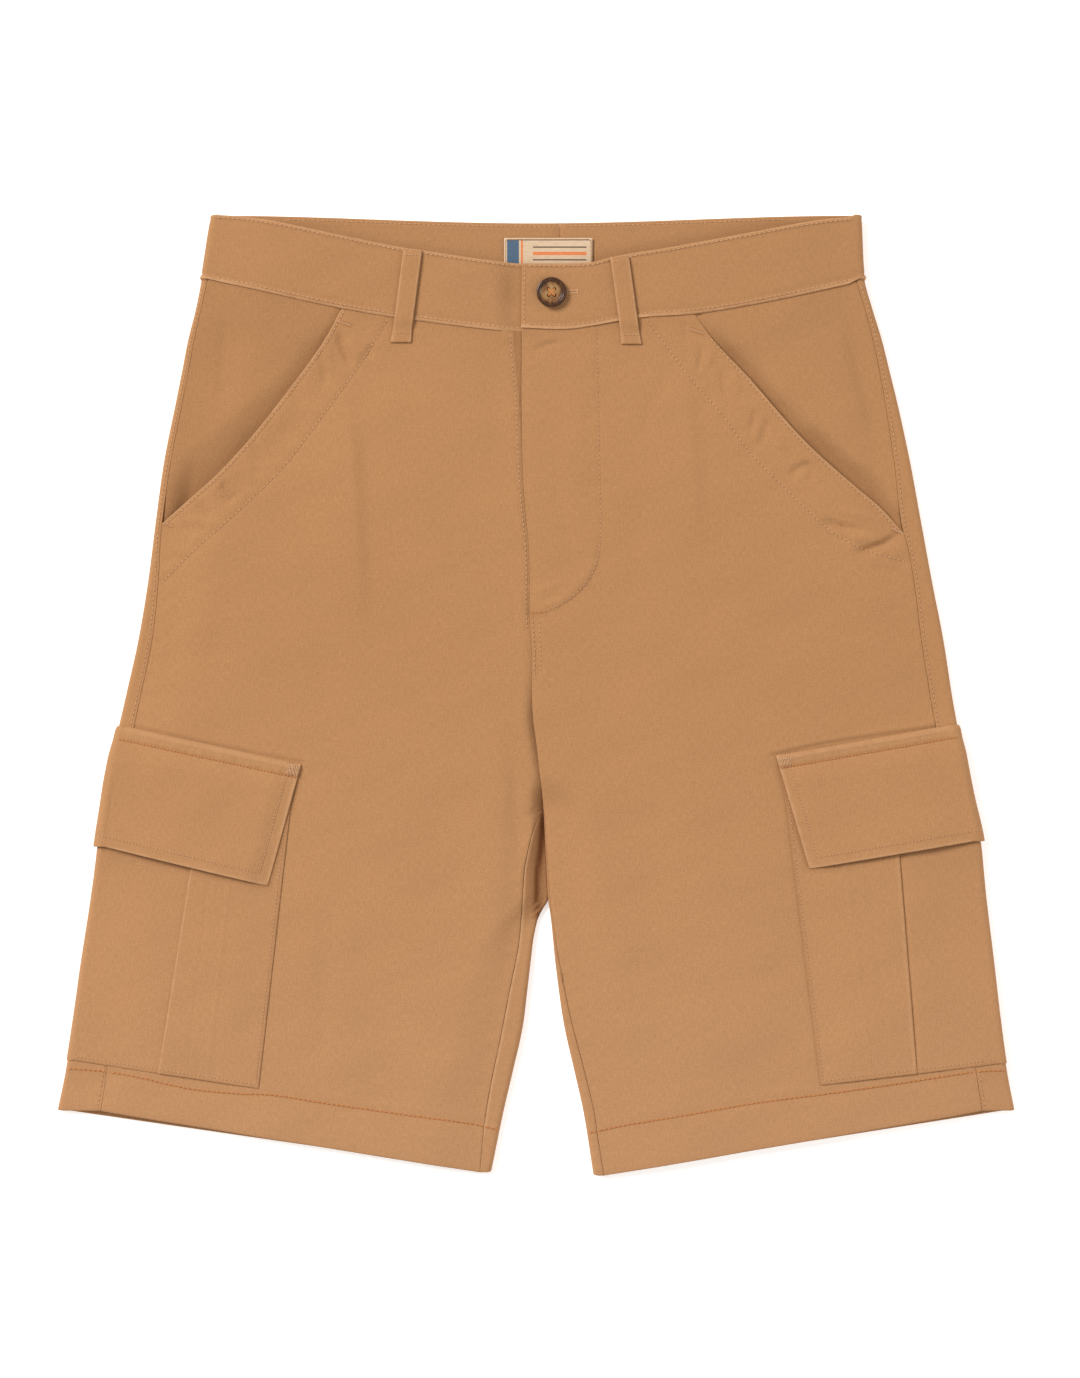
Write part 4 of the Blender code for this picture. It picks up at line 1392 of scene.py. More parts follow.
class Stitcher:
    """Models one stitch and lays joined rows of copies of it on the cloth."""

    def __init__(self, finishes: Finishes) -> None:
        """Models the stitch: a short rounded bar that dips into the cloth at both ends.

        Args:
            finishes: The garment's finishes.
        """
        self.finishes = finishes
        deselect()
        bpy.ops.mesh.primitive_cylinder_add(
            vertices=6, radius=0.5, depth=0.56, rotation=(0, math.radians(90), 0)
        )
        bar = bpy.context.object
        bpy.ops.object.transform_apply(rotation=True)
        bpy.ops.object.mode_set(mode="EDIT")
        bpy.ops.mesh.select_mode(type="FACE")
        for end in (-1.0, 1.0):
            bpy.ops.mesh.select_all(action="DESELECT")
            bpy.ops.object.mode_set(mode="OBJECT")
            for polygon in bar.data.polygons:
                polygon.select = polygon.normal.x * end > 0.9
            bpy.ops.object.mode_set(mode="EDIT")
            bpy.ops.mesh.extrude_region_move(
                TRANSFORM_OT_translate={"value": (0.17 * end, 0, -0.1)}
            )
            bpy.ops.transform.resize(value=(1, 0.8, 0.8), center_override=(0.45 * end, 0, -0.1))
            bpy.ops.mesh.extrude_region_move(
                TRANSFORM_OT_translate={"value": (0.05 * end, 0, -0.25)}
            )
            bpy.ops.transform.resize(value=(1, 0.4, 0.4), center_override=(0.5 * end, 0, -0.35))
        bpy.ops.object.mode_set(mode="OBJECT")
        bar.data.calc_loop_triangles()
        self.corners = np.array([v.co[:] for v in bar.data.vertices])
        self.faces = [tuple(p.vertices) for p in bar.data.polygons]
        bpy.data.objects.remove(bar, do_unlink=True)

    def cut(self, obj: Piece, wear_and_painted_light: Surface) -> Piece:
        """Dresses a piece in twill and marks its wear and its painted light and shade."""
        return weather(dress(obj, self.finishes.twill, "twill"), wear_and_painted_light)

    def row(self, line: Array, height: Surface, row: StitchRow) -> Array:
        """The corners of every stitch of a row.

        Args:
            line: The row's places at its pitch.
            height: How high the cloth stands at each place.
            row: The row's sizes.

        Returns:
            An array of (stitches, corners, 3) in millimetres.
        """
        middle = (line[1:] + line[:-1]) / 2.0
        along = line[1:] - line[:-1]
        along = along / np.maximum(np.hypot(*along.T)[:, None], 1e-9)
        if row.crosswise:
            along = np.column_stack([-along[:, 1], along[:, 0]])
        ends = [middle + along * row.length * end for end in (-0.5, 0.5)]
        low, high = (np.column_stack([p, height(p[:, 0], p[:, 1])]) for p in ends)
        centre = np.column_stack([middle, height(middle[:, 0], middle[:, 1])])
        forward = high - low
        forward /= np.linalg.norm(forward, axis=1, keepdims=True)
        left = np.column_stack([-along[:, 1], along[:, 0]])
        step = 0.6
        beside = [middle + left * step * end for end in (-1.0, 1.0)]
        rise = height(*beside[1].T) - height(*beside[0].T)
        sideways = np.column_stack([left * 2 * step, rise])
        sideways /= np.linalg.norm(sideways, axis=1, keepdims=True)
        up = np.cross(forward, sideways)
        frame = np.stack(
            [forward * row.length, sideways * row.thickness, up * row.thickness], axis=1
        )
        shaped = np.einsum("ck,skj->scj", self.corners, frame)
        return shaped + (centre + up * row.proud)[:, None, :]

    def joined(self, name: str, stitches: Array) -> Piece:
        """Joins stitches into one piece.

        Args:
            name: The piece's name.
            stitches: Their places, an array of (stitches, corners, 3) in millimetres.

        Returns:
            The piece.
        """
        count, size = stitches.shape[:2]
        faces = [tuple(c + k * size for c in face) for k in range(count) for face in self.faces]
        mesh = bpy.data.meshes.new(name)
        mesh.from_pydata((stitches.reshape(-1, 3) * MM).tolist(), [], faces)
        mesh.update()
        obj = bpy.data.objects.new(name, mesh)
        bpy.context.scene.collection.objects.link(obj)
        return obj

    def sew(self, name: str, rows: Sequence[StitchRow], cloth: Piece) -> list[Piece]:
        """Sews rows of stitches onto a piece, joined into one piece of each thread.

        Args:
            name: What the stitches' names start with.
            rows: The rows.
            cloth: The piece they lie on.

        Returns:
            The joined stitches.
        """
        height = height_on(cloth)
        laid = {thread: [] for thread in Thread}
        for row in rows:
            line = row.line.sampled(row.pitch)
            laid[row.thread].append(self.row(line, height, row))
            # A small dark bar in each gap between stitches: painted shade in the needle hole.
            if not row.crosswise and len(line) > 2:
                hole = replace(row, length=0.9, thickness=0.9 * row.thickness, proud=-0.03)
                laid[Thread.HOLE].append(self.row((line[1:] + line[:-1]) / 2.0, height, hole))
        sewn = []
        for thread, corners in laid.items():
            if not corners:
                continue
            stitches = np.concatenate(corners)
            stitches = stitches[np.isfinite(stitches).all(axis=(1, 2))]
            obj = self.joined(f"{name}_{thread.value}_stitches", stitches)
            shade(obj, 60.0)
            sewn.append(dress(obj, self.finishes.threads[thread]))
        return sewn


@dataclass(frozen=True)
class LegPlan:
    """Where the rows of a front and a back lie, by their height at the inner and the outer end."""

    side: Side
    form: LaidForm
    front_inner: tuple[float, ...] = (219, 200, 178, 156, 132, 112, 98, 76, 49, 22, -6, -36)
    back_inner: tuple[float, ...] = (252, 228, 203, 178, 152, 127, 103, 78, 49, 20, -8, -38)
    outer_hip: tuple[float, ...] = (252, 228, 203, 178, 152, 127, 104, 78, 49, 22, -6, -34)
    leg_inner: tuple[float, ...] = (-69.9, -92, -110, -126, -150, -180, -212, -238, -257.5)
    leg_outer: tuple[float, ...] = (-62, -80, -96, -110, -131, -156, -184, -206, -221.2)
    hem_radius: float = 1.0
    hem_turn: float = 25.0
    mouth_top: float = 232.0
    outer_hem_y: float = -249.5

    @property
    def hem_y(self) -> float:
        """The hem edge's height at the inner fold."""
        return -286.6 if self.side is Side.RIGHT else -288.6

    def outer_y(self, inner: Array, hips: Sequence[float], outer_hips: Sequence[float]) -> Array:
        """The rows' heights at their outer ends.

        Args:
            inner: Their heights at the inner ends.
            hips: The hip rows' heights at the inner ends.
            outer_hips: The same rows' heights at the outer ends.

        Returns:
            The outer ends' heights.
        """
        known = (self.hem_y, *self.leg_inner[::-1], *hips[::-1])
        outer = (self.outer_hem_y, *self.leg_outer[::-1], *outer_hips[::-1])
        return np.interp(inner, known, outer)

    def mouth_end(self) -> float:
        """The height where the pocket's mouth meets the outseam."""
        return min(y for y, _ in self.form.mouths[self.side].knots)

    def mouth_line(self) -> Polyline:
        """The pocket's mouth, from the waistband to the outseam."""
        knots = self.form.mouths[self.side].knots
        return Polyline(tuple((x, y) for y, x in knots))

    def row_stops(self, top: float, count: int, dense: bool = False) -> tuple[Array, Array]:
        """The rows from the waist to the hem and round its turned edge.

        Args:
            top: The first row's height at its inner end.
            count: How many rows the outer layer has.
            dense: Whether they lie closer at the pocket's mouth and under the flap.

        Returns:
            The rows' heights at the inner end, and how far each lies below the outer layer.
        """
        radius = self.hem_radius
        last = self.hem_y + radius
        shares = (0, 0.45, 0.54, 0.68, 1) if dense else (0, 0.34, 0.47, 0.53, 1)
        knots = (top - RIM_STEPS[-1], top - 165.0, top - 232.0, top - 264.0, last)
        stops = np.interp(np.linspace(0, 1, count), shares, knots)
        outer = np.concatenate([top - np.array(RIM_STEPS), stops[1:]])
        angles = np.radians([62, 35, 10, -10, -35, -62, -90])
        turn = self.hem_y + radius - radius * np.cos(angles)
        back = self.hem_y + np.array([3.0, 7.0, 12.0, 18.0, self.hem_turn])
        drop = np.concatenate([0 * outer, radius - radius * np.sin(angles), 0 * back + 2 * radius])
        return np.concatenate([outer, turn, back]), drop


@dataclass(frozen=True)
class LegPiece:
    """A piece of cloth cut for one half of the garment.

    kind names its solid, sheet holds its flat cut, and rests_on is what lies under it. Each piece
    has an outer or a middle face, and its own wear and painted light and shade.
    """

    plan: LegPlan
    kind: ClassVar[str]
    sheet: ClassVar[dict]
    rests_on: ClassVar[str]

    @property
    def side(self) -> Side:
        """The half it belongs to."""
        return self.plan.side

    @property
    def form(self) -> LaidForm:
        """The laid garment it is part of."""
        return self.plan.form

    def cloth(self, name: str) -> Piece:
        """The piece as one layer of cloth."""
        return panel(name, self.face(), self.wall)

    def stitch_rows(self) -> list[StitchRow]:
        """The rows of stitches that show on the piece."""
        return []

    def sew(self, name: str, cloth: Piece, stitcher: Stitcher) -> list[Piece]:
        """Sews the rows onto the cloth."""
        return stitcher.sew(name, self.stitch_rows(), cloth)

    def build(self, stitcher: Stitcher) -> None:
        """Makes the cloth, gives it its wear and painted light and sews it.

        Args:
            stitcher: What sews the rows.
        """
        half = self.side.value
        name = f"{self.kind}_{half}"
        cloth = stitcher.cut(self.cloth(f"{name}_cloth"), self.wear_and_painted_light)
        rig.replaces(cloth, name)
        sewn = self.sew(name, cloth, stitcher)
        under = [self.rests_on.format(half)]
        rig.sheet(cloth, **self.sheet, held="laid", rests_on=under, with_pieces=sewn)
        LOG.info("%s: cut and sewn with %d pieces of stitches", name, len(sewn))


@dataclass(frozen=True)
class Front(LegPiece):
    """A front, from the fly or the inseam to the pocket's mouth and the outseam."""

    kind = "front"
    sheet = {"flat": (0.300, 0.545), "area": 0.130}
    rests_on = "back_{}_cloth"
    columns: int = 118
    rows: int = 276
    wall: float = 0.85
    rim: float = 0.4
    underlap: float = 4.0
    mouth_length: float = 168.0
    inner_lines: dict[Side, tuple[Point, ...]] = halves(
        (
            (-88.6, 226.0), (-91.5, 221.1), (-100.2, 206.7), (-112.8, 188.1), (-124.2, 172.5),
            (-139.8, 151.5), (-151.2, 137.1), (-168.0, 120.3), (-189.0, 101.1), (-206.4, 86.1),
            (-225.4, 67.0),
        ),
        (
            (66.0, 226.0), (75.6, 212.9), (91.8, 191.1), (111.0, 168.9), (129.0, 144.6),
            (143.4, 129.9), (159.3, 114.3), (175.2, 99.6), (198.0, 87.0), (222.0, 80.5),
        ),
    )
    hem_lines: dict[Side, tuple[Point, ...]] = halves(
        (
            (-283.2, -223.9), (-256.8, -225.9), (-233.4, -230.1), (-211.8, -235.5),
            (-180.0, -238.9), (-158.4, -239.6), (-129.6, -244.2), (-80.0, -251.4), (-33.6, -258.3),
            (-22.2, -261.3),
        ),
        (
            (31.2, -263.1), (49.2, -258.9), (90.0, -251.8), (128.4, -245.1), (184.2, -237.7),
            (227.4, -231.3), (264.0, -225.9), (284.4, -225.0),
        ),
    )
    flap_lines: dict[Side, tuple[Point, ...]] = halves(
        ((-246.0, -17.6), (-200.0, -28.2), (-139.6, -40.4)),
        ((142.6, -35.4), (170.0, -29.5), (200.0, -24.7), (244.0, -18.2)),
    )
    bartacks: dict[Side, tuple[tuple[Point, Point], ...]] = halves(
        (((-119.5, 224.6), (-110.5, 221.4)), ((-224.0, 103.4), (-217.6, 101.6))),
        (((91.8, 219.6), (100.8, 217.0)), ((213.0, 100.6), (219.0, 98.0))),
    )
    j_line: tuple[Point, ...] = (
        (36.6, 222.0), (37.2, 180.0), (38.2, 130.0), (38.6, 96.0), (37.0, 82.0), (32.4, 71.0),
        (22.8, 60.0), (10.8, 52.4), (-2.0, 48.6),
    )

    def hem_stitches(self, start: float, end: float) -> Polyline:
        """The part of the hem's stitch line between two places across.

        Args:
            start: Where it starts.
            end: Where it ends.

        Returns:
            The line.
        """
        points = Polyline(self.hem_lines[self.side]).sampled(2.0)
        kept = points[(points[:, 0] >= start) & (points[:, 0] <= end)]
        return Polyline(tuple(map(tuple, kept[::6])) + (tuple(kept[-1]),), False)

    def hem_row(self, line: Polyline) -> StitchRow:
        """A row of the hem's rust topstitching."""
        return StitchRow(line, Thread.RUST, length=2.2, thickness=0.85)

    def edge_line(self, knots: SmoothCurve, inset: float, top: float, foot: float) -> Polyline:
        """A line beside an edge given by height.

        Args:
            knots: The edge.
            inset: How far the line lies from it, positive towards the wearer's left.
            top: Where the line starts.
            foot: Where it ends.

        Returns:
            The line, from the top down.
        """
        ys = np.linspace(top, foot, max(4, int(abs(top - foot) / 9)))
        return Polyline(tuple(zip(knots(ys) + inset, ys)))

    def seams(self) -> list[SeamRelief]:
        """What each sewn line does to this front.

        Returns:
            One relief for each line.
        """
        sign, side, form = self.side.sign, self.side, self.form
        mouth = self.plan.mouth_line().moved(-sign * 2.0)
        outseam = self.edge_line(form.outseams[side], -sign * 5.0, 90, -250)
        inseam = self.edge_line(form.inseams[side], sign * 4.0, -75, -255)
        flap = Polyline(self.flap_lines[side], False)
        rows = [
            (mouth, 0.25, 0.0, 1.0, 0.05, 11.0),
            (Polyline(self.inner_lines[side]), 0.2, 0.16, sign, 0.12, 13.0, 1.6, 7.0),
            (Polyline(self.hem_lines[side]), 0.3, 0.2, 1.0, 0.10, 10.0, 1.6, 4.5, 0.7),
            (outseam, 0.0, 0.15, 1.0, 0.10, 12.0),
            (inseam, 0.0, 0.22, 1.0, 0.12, 11.0),
            (flap, 0.6, 0.25, sign, 0.05, 12.0, 1.1, 4.0),
        ]
        fly = form.fronts[side]
        if side is Side.LEFT:
            rows += [
                (self.edge_line(fly, 1.8, 217, 50), 0.2, 0.0, 1.0, 0.03),
                (Polyline(self.j_line), 0.12, 0.1, -1.0, 0.07, 11.0),
                (self.edge_line(fly, 3.6, 46, 10), 0.4, 0.15, 1.0, 0.14, 5.0),
            ]
        else:
            rows.append((self.edge_line(fly, -1.8, 217, -60), 0.2, 0.1, -1.0, 0.05))
        return [SeamRelief(*row) for row in rows]

    def puckers(self, x: Array, y: Array) -> Array:
        """The slack folds between the pocket's mouth and the line that holds its facing.

        Args:
            x: Places across.
            y: Places along the garment.

        Returns:
            The relief in millimetres.
        """
        signed, along = Polyline(self.inner_lines[self.side]).distance(x, y)
        out = self.side.sign * signed
        band = smooth((out + 3.0) / 8.0) * smooth((26.0 - out) / 8.0)
        wave = np.sin(2 * np.pi * (along + 0.6 * out) / 23.0 + 0.7)
        wave = wave + 0.8 * np.sin(2 * np.pi * (along - 0.35 * out) / 13.5 + 2.0)
        wave = wave + 0.5 * np.sin(2 * np.pi * (along + 0.2 * out) / 8.7 + 4.0)
        uneven = 0.6 + 0.4 * np.sin(along / 19.0 + self.side.sign)
        named = sum(crease.relief(x, y) for crease in self.form.mouth_creases[self.side])
        depth = 2.5 if self.side is Side.RIGHT else 1.8
        return 0.07 * band * wave * uneven + depth * named

    def fly_step(self, x: Array, y: Array) -> Array:
        """The fly's second layer, which stands a little higher inside the curved line.

        Args:
            x: Places across.
            y: Places along the garment.

        Returns:
            The relief in millimetres.
        """
        if self.side is Side.RIGHT:
            return 0.0 * x
        signed, along = Polyline(self.j_line).distance(x, y)
        foot = smooth((along - 120.0) / 25.0)
        inside = smooth((1.2 - signed) / mix(9.0, 2.4, foot))
        tail = bell(np.maximum(-signed, 0.0), mix(22.0, 10.0, foot))
        return mix(0.3, 0.85, foot) * inside * tail * (y > 46.0)

    def gape(self, x: Array, y: Array) -> Array:
        """How far the pocket's mouth stands open.

        Args:
            x: Places across.
            y: Places along the garment.

        Returns:
            The relief in millimetres.
        """
        signed, along = self.plan.mouth_line().distance(x, y)
        middle = np.clip(np.sin(np.pi * np.clip(along / self.mouth_length, 0, 1)), 0, 1) ** 0.8
        return 1.5 * middle * bell(signed, 11.0)

    def surface(self, x: Array, y: Array) -> Array:
        """How high the front's outer face stands, sewn lines and all.

        Args:
            x: Places across.
            y: Places along the garment.

        Returns:
            The height over the resting plane.
        """
        high = self.form.front(self.side, x, y)
        fade = smooth((np.abs(self.form.edges[self.side](y) - x) - 2.0) / 8.0)
        relief = sum(seam.relief(x, y) for seam in self.seams()) + self.puckers(x, y)
        relief = relief + self.gape(x, y) + self.fly_step(x, y)
        return high + fade * relief

    def tuck(self, x: Array, y: Array) -> Array:
        """How far the right front dips to pass under the left one's edge.

        Args:
            x: Places across.
            y: Places along the garment.

        Returns:
            The depth in millimetres.
        """
        if self.side is Side.LEFT:
            return 0.0 * x
        under = smooth((x - self.form.fronts[Side.LEFT](y) + 1.5) / 1.3) * smooth((y + 71.0) / 6.0)
        past = x - self.form.fronts[Side.RIGHT](y)
        folded = 0.6 * smooth((past + 0.3) / 0.9) * smooth((y - 118.0) / 30.0)
        return np.maximum(under, folded)

    def face(self) -> Face:
        """The outer face, from the waist seam to the turned hem.

        Returns:
            The face.
        """
        side, form, plan = self.side, self.form, self.plan
        inner_y, drop = plan.row_stops(219.6, self.rows, True)
        end = plan.mouth_end()
        along_mouth = tuple(mix(plan.mouth_top, end, i / 6) for i in range(6))
        outer_y = plan.outer_y(inner_y, plan.front_inner, along_mouth + (end,) + plan.outer_hip[7:])
        inner_x = np.where(
            inner_y >= form.crotch_y, form.fronts[side](inner_y), form.inseams[side](inner_y)
        )
        if side is Side.RIGHT:
            under = form.fronts[Side.LEFT](inner_y) + self.underlap
            inner_x = mix(inner_x, under, smooth((inner_y + 72.0) / 7.0))
        outer_x = np.where(outer_y >= end, form.mouths[side](outer_y), form.outseams[side](outer_y))
        length = np.hypot(outer_x - inner_x, outer_y - inner_y)
        t = spaced(length, self.columns) / length[:, None]
        x = mix(inner_x[:, None], outer_x[:, None], t)
        y = mix(inner_y[:, None], outer_y[:, None], t)
        lift = form.waist_seams[side](x[0]) + 0.4 - y[0]
        y = y + lift[None] * (1.0 - smooth((inner_y[0] - inner_y) / 50.0))[:, None]
        z = self.surface(x, y) - drop[:, None] - self.tuck(x, y)
        whole = Face(np.stack([x, y, z], axis=2), side.sign)
        return whole.rolled((Rim.START, Rim.END, Rim.TOP), self.rim)

    def stitch_rows(self) -> list[StitchRow]:
        """The rows of stitches on this front.

        Returns:
            The rows.
        """
        sign, side, form = self.side.sign, self.side, self.form
        outseam, inseam = form.outseams[side], form.inseams[side]
        if side is Side.RIGHT:
            hem = self.hem_stitches(outseam(-224.0) + 0.6, inseam(-258.0) - 0.3)
        else:
            hem = self.hem_stitches(inseam(-262.0) + 0.3, outseam(-226.0) - 0.6)
        rows = [
            StitchRow(self.plan.mouth_line().moved(-sign * 1.9)),
            StitchRow(Polyline(self.inner_lines[side])),
            self.hem_row(hem),
        ]
        for ends in self.bartacks[side]:
            tack = Polyline(ends, False)
            rows.append(StitchRow(tack, Thread.TONAL, 0.75, 1.9, 0.5, True))
            rows += [StitchRow(tack.moved(at), Thread.RUST, 1.3, 1.1, 0.32) for at in (-1.15, 1.15)]
        if side is Side.LEFT:
            rows += [
                StitchRow(Polyline(self.j_line), thickness=0.4),
                StitchRow(self.edge_line(form.fronts[side], 1.6, 46, 12)),
                StitchRow(self.edge_line(form.fronts[side], 5.4, 46, 12)),
                StitchRow(Polyline(((-3.0, 49.6), (6.5, 50.2)), False), Thread.RUST, 1.3, 1.2, 0.5),
            ]
        else:
            rows.append(StitchRow(self.edge_line(form.fronts[side], -1.7, 217, 40)))
        return rows

    def wear_and_painted_light(self, x: Array, y: Array) -> Array:
        """How pale the front is painted at its mouth's edge, part wear and part highlight, and how dark with painted
        shade below the band, in the crotch and round the flap.

        Args:
            x: Places across.
            y: Places along the garment.

        Returns:
            The painted wear and light at each place, from -1 to 1.
        """
        form = self.form
        signed, _ = self.plan.mouth_line().distance(x, y)
        # The mouth's rolled edge is painted pale: part wear, part painted highlight.
        lit_and_worn_edge = 0.4 * bell(signed, 0.9)
        # Painted shade just below the waistband.
        shaded = 0.05 * bell(form.waist_seams[self.side](x) - y, 9.0)
        if self.side is Side.RIGHT:
            edge = np.where(
                y > form.crotch_y, form.fronts[Side.LEFT](y), form.inner_edges[Side.LEFT](y)
            )
            # Painted shade in the fly's slit and where the right front runs under the left one's edge.
            fold = smooth((6.0 - y) / 26.0) * smooth((y + 138.0) / 10.0)
            slit = smooth((x - form.fronts[Side.RIGHT](y) + 0.4) / 0.8) * smooth((y - 150.0) / 20.0)
            shaded = shaded + 0.24 * slit + 0.14 * fold * bell(np.maximum(edge - x - 0.5, 0.0), 2.6)
        # Painted shadow along the flap's top edge, and the flap's painted shadow below its front and lower edges.
        above, _ = Polyline(self.flap_lines[self.side], False).distance(x, y)
        shaded = shaded + 0.14 * bell(above, 0.9)
        return lit_and_worn_edge - np.maximum(shaded, CargoFlap(self.plan).shade(x, y))


@dataclass(frozen=True)
class Back(LegPiece):
    """A back: inseam, inside fold, the layer that rests on the floor, outer fold and outseam."""

    kind = "back"
    sheet = {"flat": (0.345, 0.580), "area": 0.155}
    rests_on = "floor"
    rows: int = 152
    wall: float = 0.85
    rim: float = 0.35
    top_columns: int = 7
    fold_columns: int = 9
    floor_columns: int = 60
    width: float = 220.0

    def columns(self, inner_y: Array, outer_y: Array) -> tuple[Array, Array]:
        """Every row's places and the directions in which they face out.

        Args:
            inner_y: The rows' heights at the inner end.
            outer_y: Their heights at the outer fold.

        Returns:
            The places and the outward directions, in rows and columns.
        """
        side, form, sign = self.side, self.form, self.side.sign
        radius, big = form.inner_radii[side](inner_y), form.fold_radius
        edge, seam = form.inner_edges[side](inner_y), form.inseams[side](inner_y)
        hips = inner_y > form.crotch_y
        places, outs = [], []

        def add(x: Array, y: Array, z: Array, out_x: Array, out_z: Array) -> None:
            """Adds a column of places and of the directions in which they face out."""
            places.append(np.stack([x, y, z], axis=1))
            outs.append(np.stack([out_x + 0 * x, 0 * x, out_z + 0 * x], axis=1))

        start_x = form.back_seam(inner_y) + sign * 0.1
        start_z = form.lift(side, start_x, inner_y)

        def add_inner(x: Array, z: Array, out_x: Array, out_z: Array) -> None:
            """Adds a column of the inside fold, which lies at the centre seam at the hips."""
            at_x, at_z = np.where(hips, start_x, x), np.where(hips, start_z, z)
            add(at_x, inner_y, at_z, np.where(hips, 0.0, out_x), np.where(hips, -1.0, out_z))

        shoulder = edge + sign * radius
        inset = np.maximum(sign * (seam - edge), 0.0)
        inset = np.where(np.abs(inset - radius) < 0.15, radius + 0.15, inset)
        on_fold = inset < radius
        top = np.where(on_fold, np.arccos(np.clip(1.0 - inset / radius, -1.0, 1.0)), 0.5 * np.pi)
        rolled = np.where(on_fold, top - 0.15, top)
        for t in np.linspace(0.0, 1.0, self.top_columns + 1)[:-1] ** 1.6:
            angle = mix(top, rolled, t)
            x = np.where(
                on_fold,
                shoulder - sign * radius * np.cos(angle),
                mix(seam - sign * 0.05, shoulder, t),
            )
            z = np.where(on_fold, radius + radius * np.sin(angle), form.front(side, x, inner_y))
            add_inner(x, z, 0.0, 1.0)
        for share in np.linspace(0.0, 1.0, self.fold_columns + 1)[:-1]:
            angle = mix(rolled, -0.5 * np.pi, share)
            x = shoulder - sign * radius * np.cos(angle)
            z = radius + radius * np.sin(angle)
            add_inner(x, z, -sign * np.cos(angle), np.sin(angle))
        first = np.where(hips, start_x, shoulder)
        outer_edge = form.edges[side](outer_y)
        last = outer_edge - sign * big
        for t in spaced(np.array([self.width]), self.floor_columns)[0] / self.width:
            x, y = mix(first, last, t), mix(inner_y, outer_y, t)
            sag = sum(crease.relief(x, y) for crease in form.back_creases)
            ends = smooth(t / 0.08) * smooth((1 - t) / 0.08)
            add(x, y, form.lift(side, x, y) + ends * np.abs(sag) * 0.6, 0.0, -1.0)
        low = form.lift(side, outer_edge, outer_y)
        for angle in np.radians(np.linspace(-90.0, 90.0, 13))[1:]:
            x = outer_edge - sign * big + sign * big * np.cos(angle)
            add(x, outer_y, low + big + big * np.sin(angle), sign * np.cos(angle), np.sin(angle))
        end = form.outseams[side](outer_y) + sign * 0.05
        for t in 1.0 - np.linspace(1.0, 0.0, 10)[1:] ** 1.5:
            x = mix(last, end, t)
            add(x, outer_y, form.front(side, x, outer_y), 0.0, 1.0)
        return np.stack(places, axis=1), np.stack(outs, axis=1)

    def face(self) -> tuple[Face, Array]:
        """The outer face and the cells that have no cloth.

        Returns:
            The face, and whether each of its grid's cells is bare.
        """
        plan, form = self.plan, self.form
        inner_y, drop = plan.row_stops(plan.back_inner[0], self.rows)
        nearest = int(np.argmin(np.abs(inner_y - form.crotch_y)))
        inner_y[nearest] = form.crotch_y
        outer_y = plan.outer_y(inner_y, plan.back_inner, plan.outer_hip)
        places, outs = self.columns(inner_y, outer_y)
        places = places - outs * drop[:, None, None]
        limit = form.back_top(places[0, :, 0]) - form.band_height - 0.3
        places[0, :, 1] = np.minimum(places[0, :, 1], limit)
        bare = np.zeros((len(inner_y) - 1, places.shape[1] - 1), bool)
        bare[:nearest, : self.top_columns + self.fold_columns] = True
        outer = Face(places[: self.rows], -plan.side.sign)
        rolled = outer.rolled((Rim.START, Rim.END), self.rim).points
        points = np.concatenate([rolled, places[self.rows:]])
        return Face(points, -plan.side.sign), bare

    def stitch_rows(self) -> list[StitchRow]:
        """The rows of stitches beside the outseam and along the hem.

        Returns:
            The rows.
        """
        side, form, plan = self.side, self.form, self.plan
        sign = side.sign
        front = Front(plan)
        beside = front.edge_line(form.outseams[side], sign * 1.9, 246, -252)
        inner, outer = form.inseams[side](-262.0), form.outseams[side](-224.0)
        edge_in, edge_out = form.inner_edges[side](-262.0), form.edges[side](-224.0)
        rust = [
            sorted((float(outer + sign * 0.8), float(edge_out - sign * 1.0))),
            sorted((float(inner - sign * 0.3), float(edge_in + sign * 0.5))),
        ]
        rows = [StitchRow(beside)]
        for low, high in rust:
            ys = Polyline(front.hem_lines[side]).sampled(1.0)
            order = np.argsort(ys[:, 0])
            xs = np.linspace(low, high, max(3, int((high - low) / 3)))
            line = np.column_stack([xs, np.interp(xs, ys[order, 0], ys[order, 1])])
            rows.append(front.hem_row(Polyline(tuple(map(tuple, line)), False)))
        return rows

    def wear_and_painted_light(self, x: Array, y: Array) -> Array:
        """The painted shade in the cleft between the legs and along the left inseam, and a painted highlight along the
        right inseam.

        Args:
            x: Places across.
            y: Places along the garment.

        Returns:
            The painted light and shade at each place, from -1 to 1.
        """
        form = self.form
        # The left half: painted shade along its inseam, below the crotch.
        if self.side is Side.LEFT:
            return -0.35 * smooth((-140.0 - y) / 20.0) * bell(x - form.inseams[Side.LEFT](y), 0.7)
        seam = x - form.inseams[Side.RIGHT](y)
        # The right half: painted shade down the cleft between the legs, where it runs under the left leg.
        cleft = Polyline(
            ((5.2, -64.0), (3.2, -90.0), (0.8, -106.0), (0.4, -122.0), (2.0, -134.0)), False
        )
        far, _ = cleft.distance(x, y)
        fold = smooth((-60.0 - y) / 10.0) * smooth((y + 142.0) / 12.0)
        unfaded = fold * (0.95 * bell(far, 2.0) + 0.2 * smooth(seam / 2.0))
        # A painted highlight along the right inseam's ridge, less the painted shade.
        return 0.45 * bell(seam - 0.8, 0.7) * smooth((y + 264.0) / 4.0) - unfaded

    def cloth(self, name: str) -> Piece:
        """The back as one layer of cloth."""
        face, bare = self.face()
        return panel(name, face, self.wall, bare)


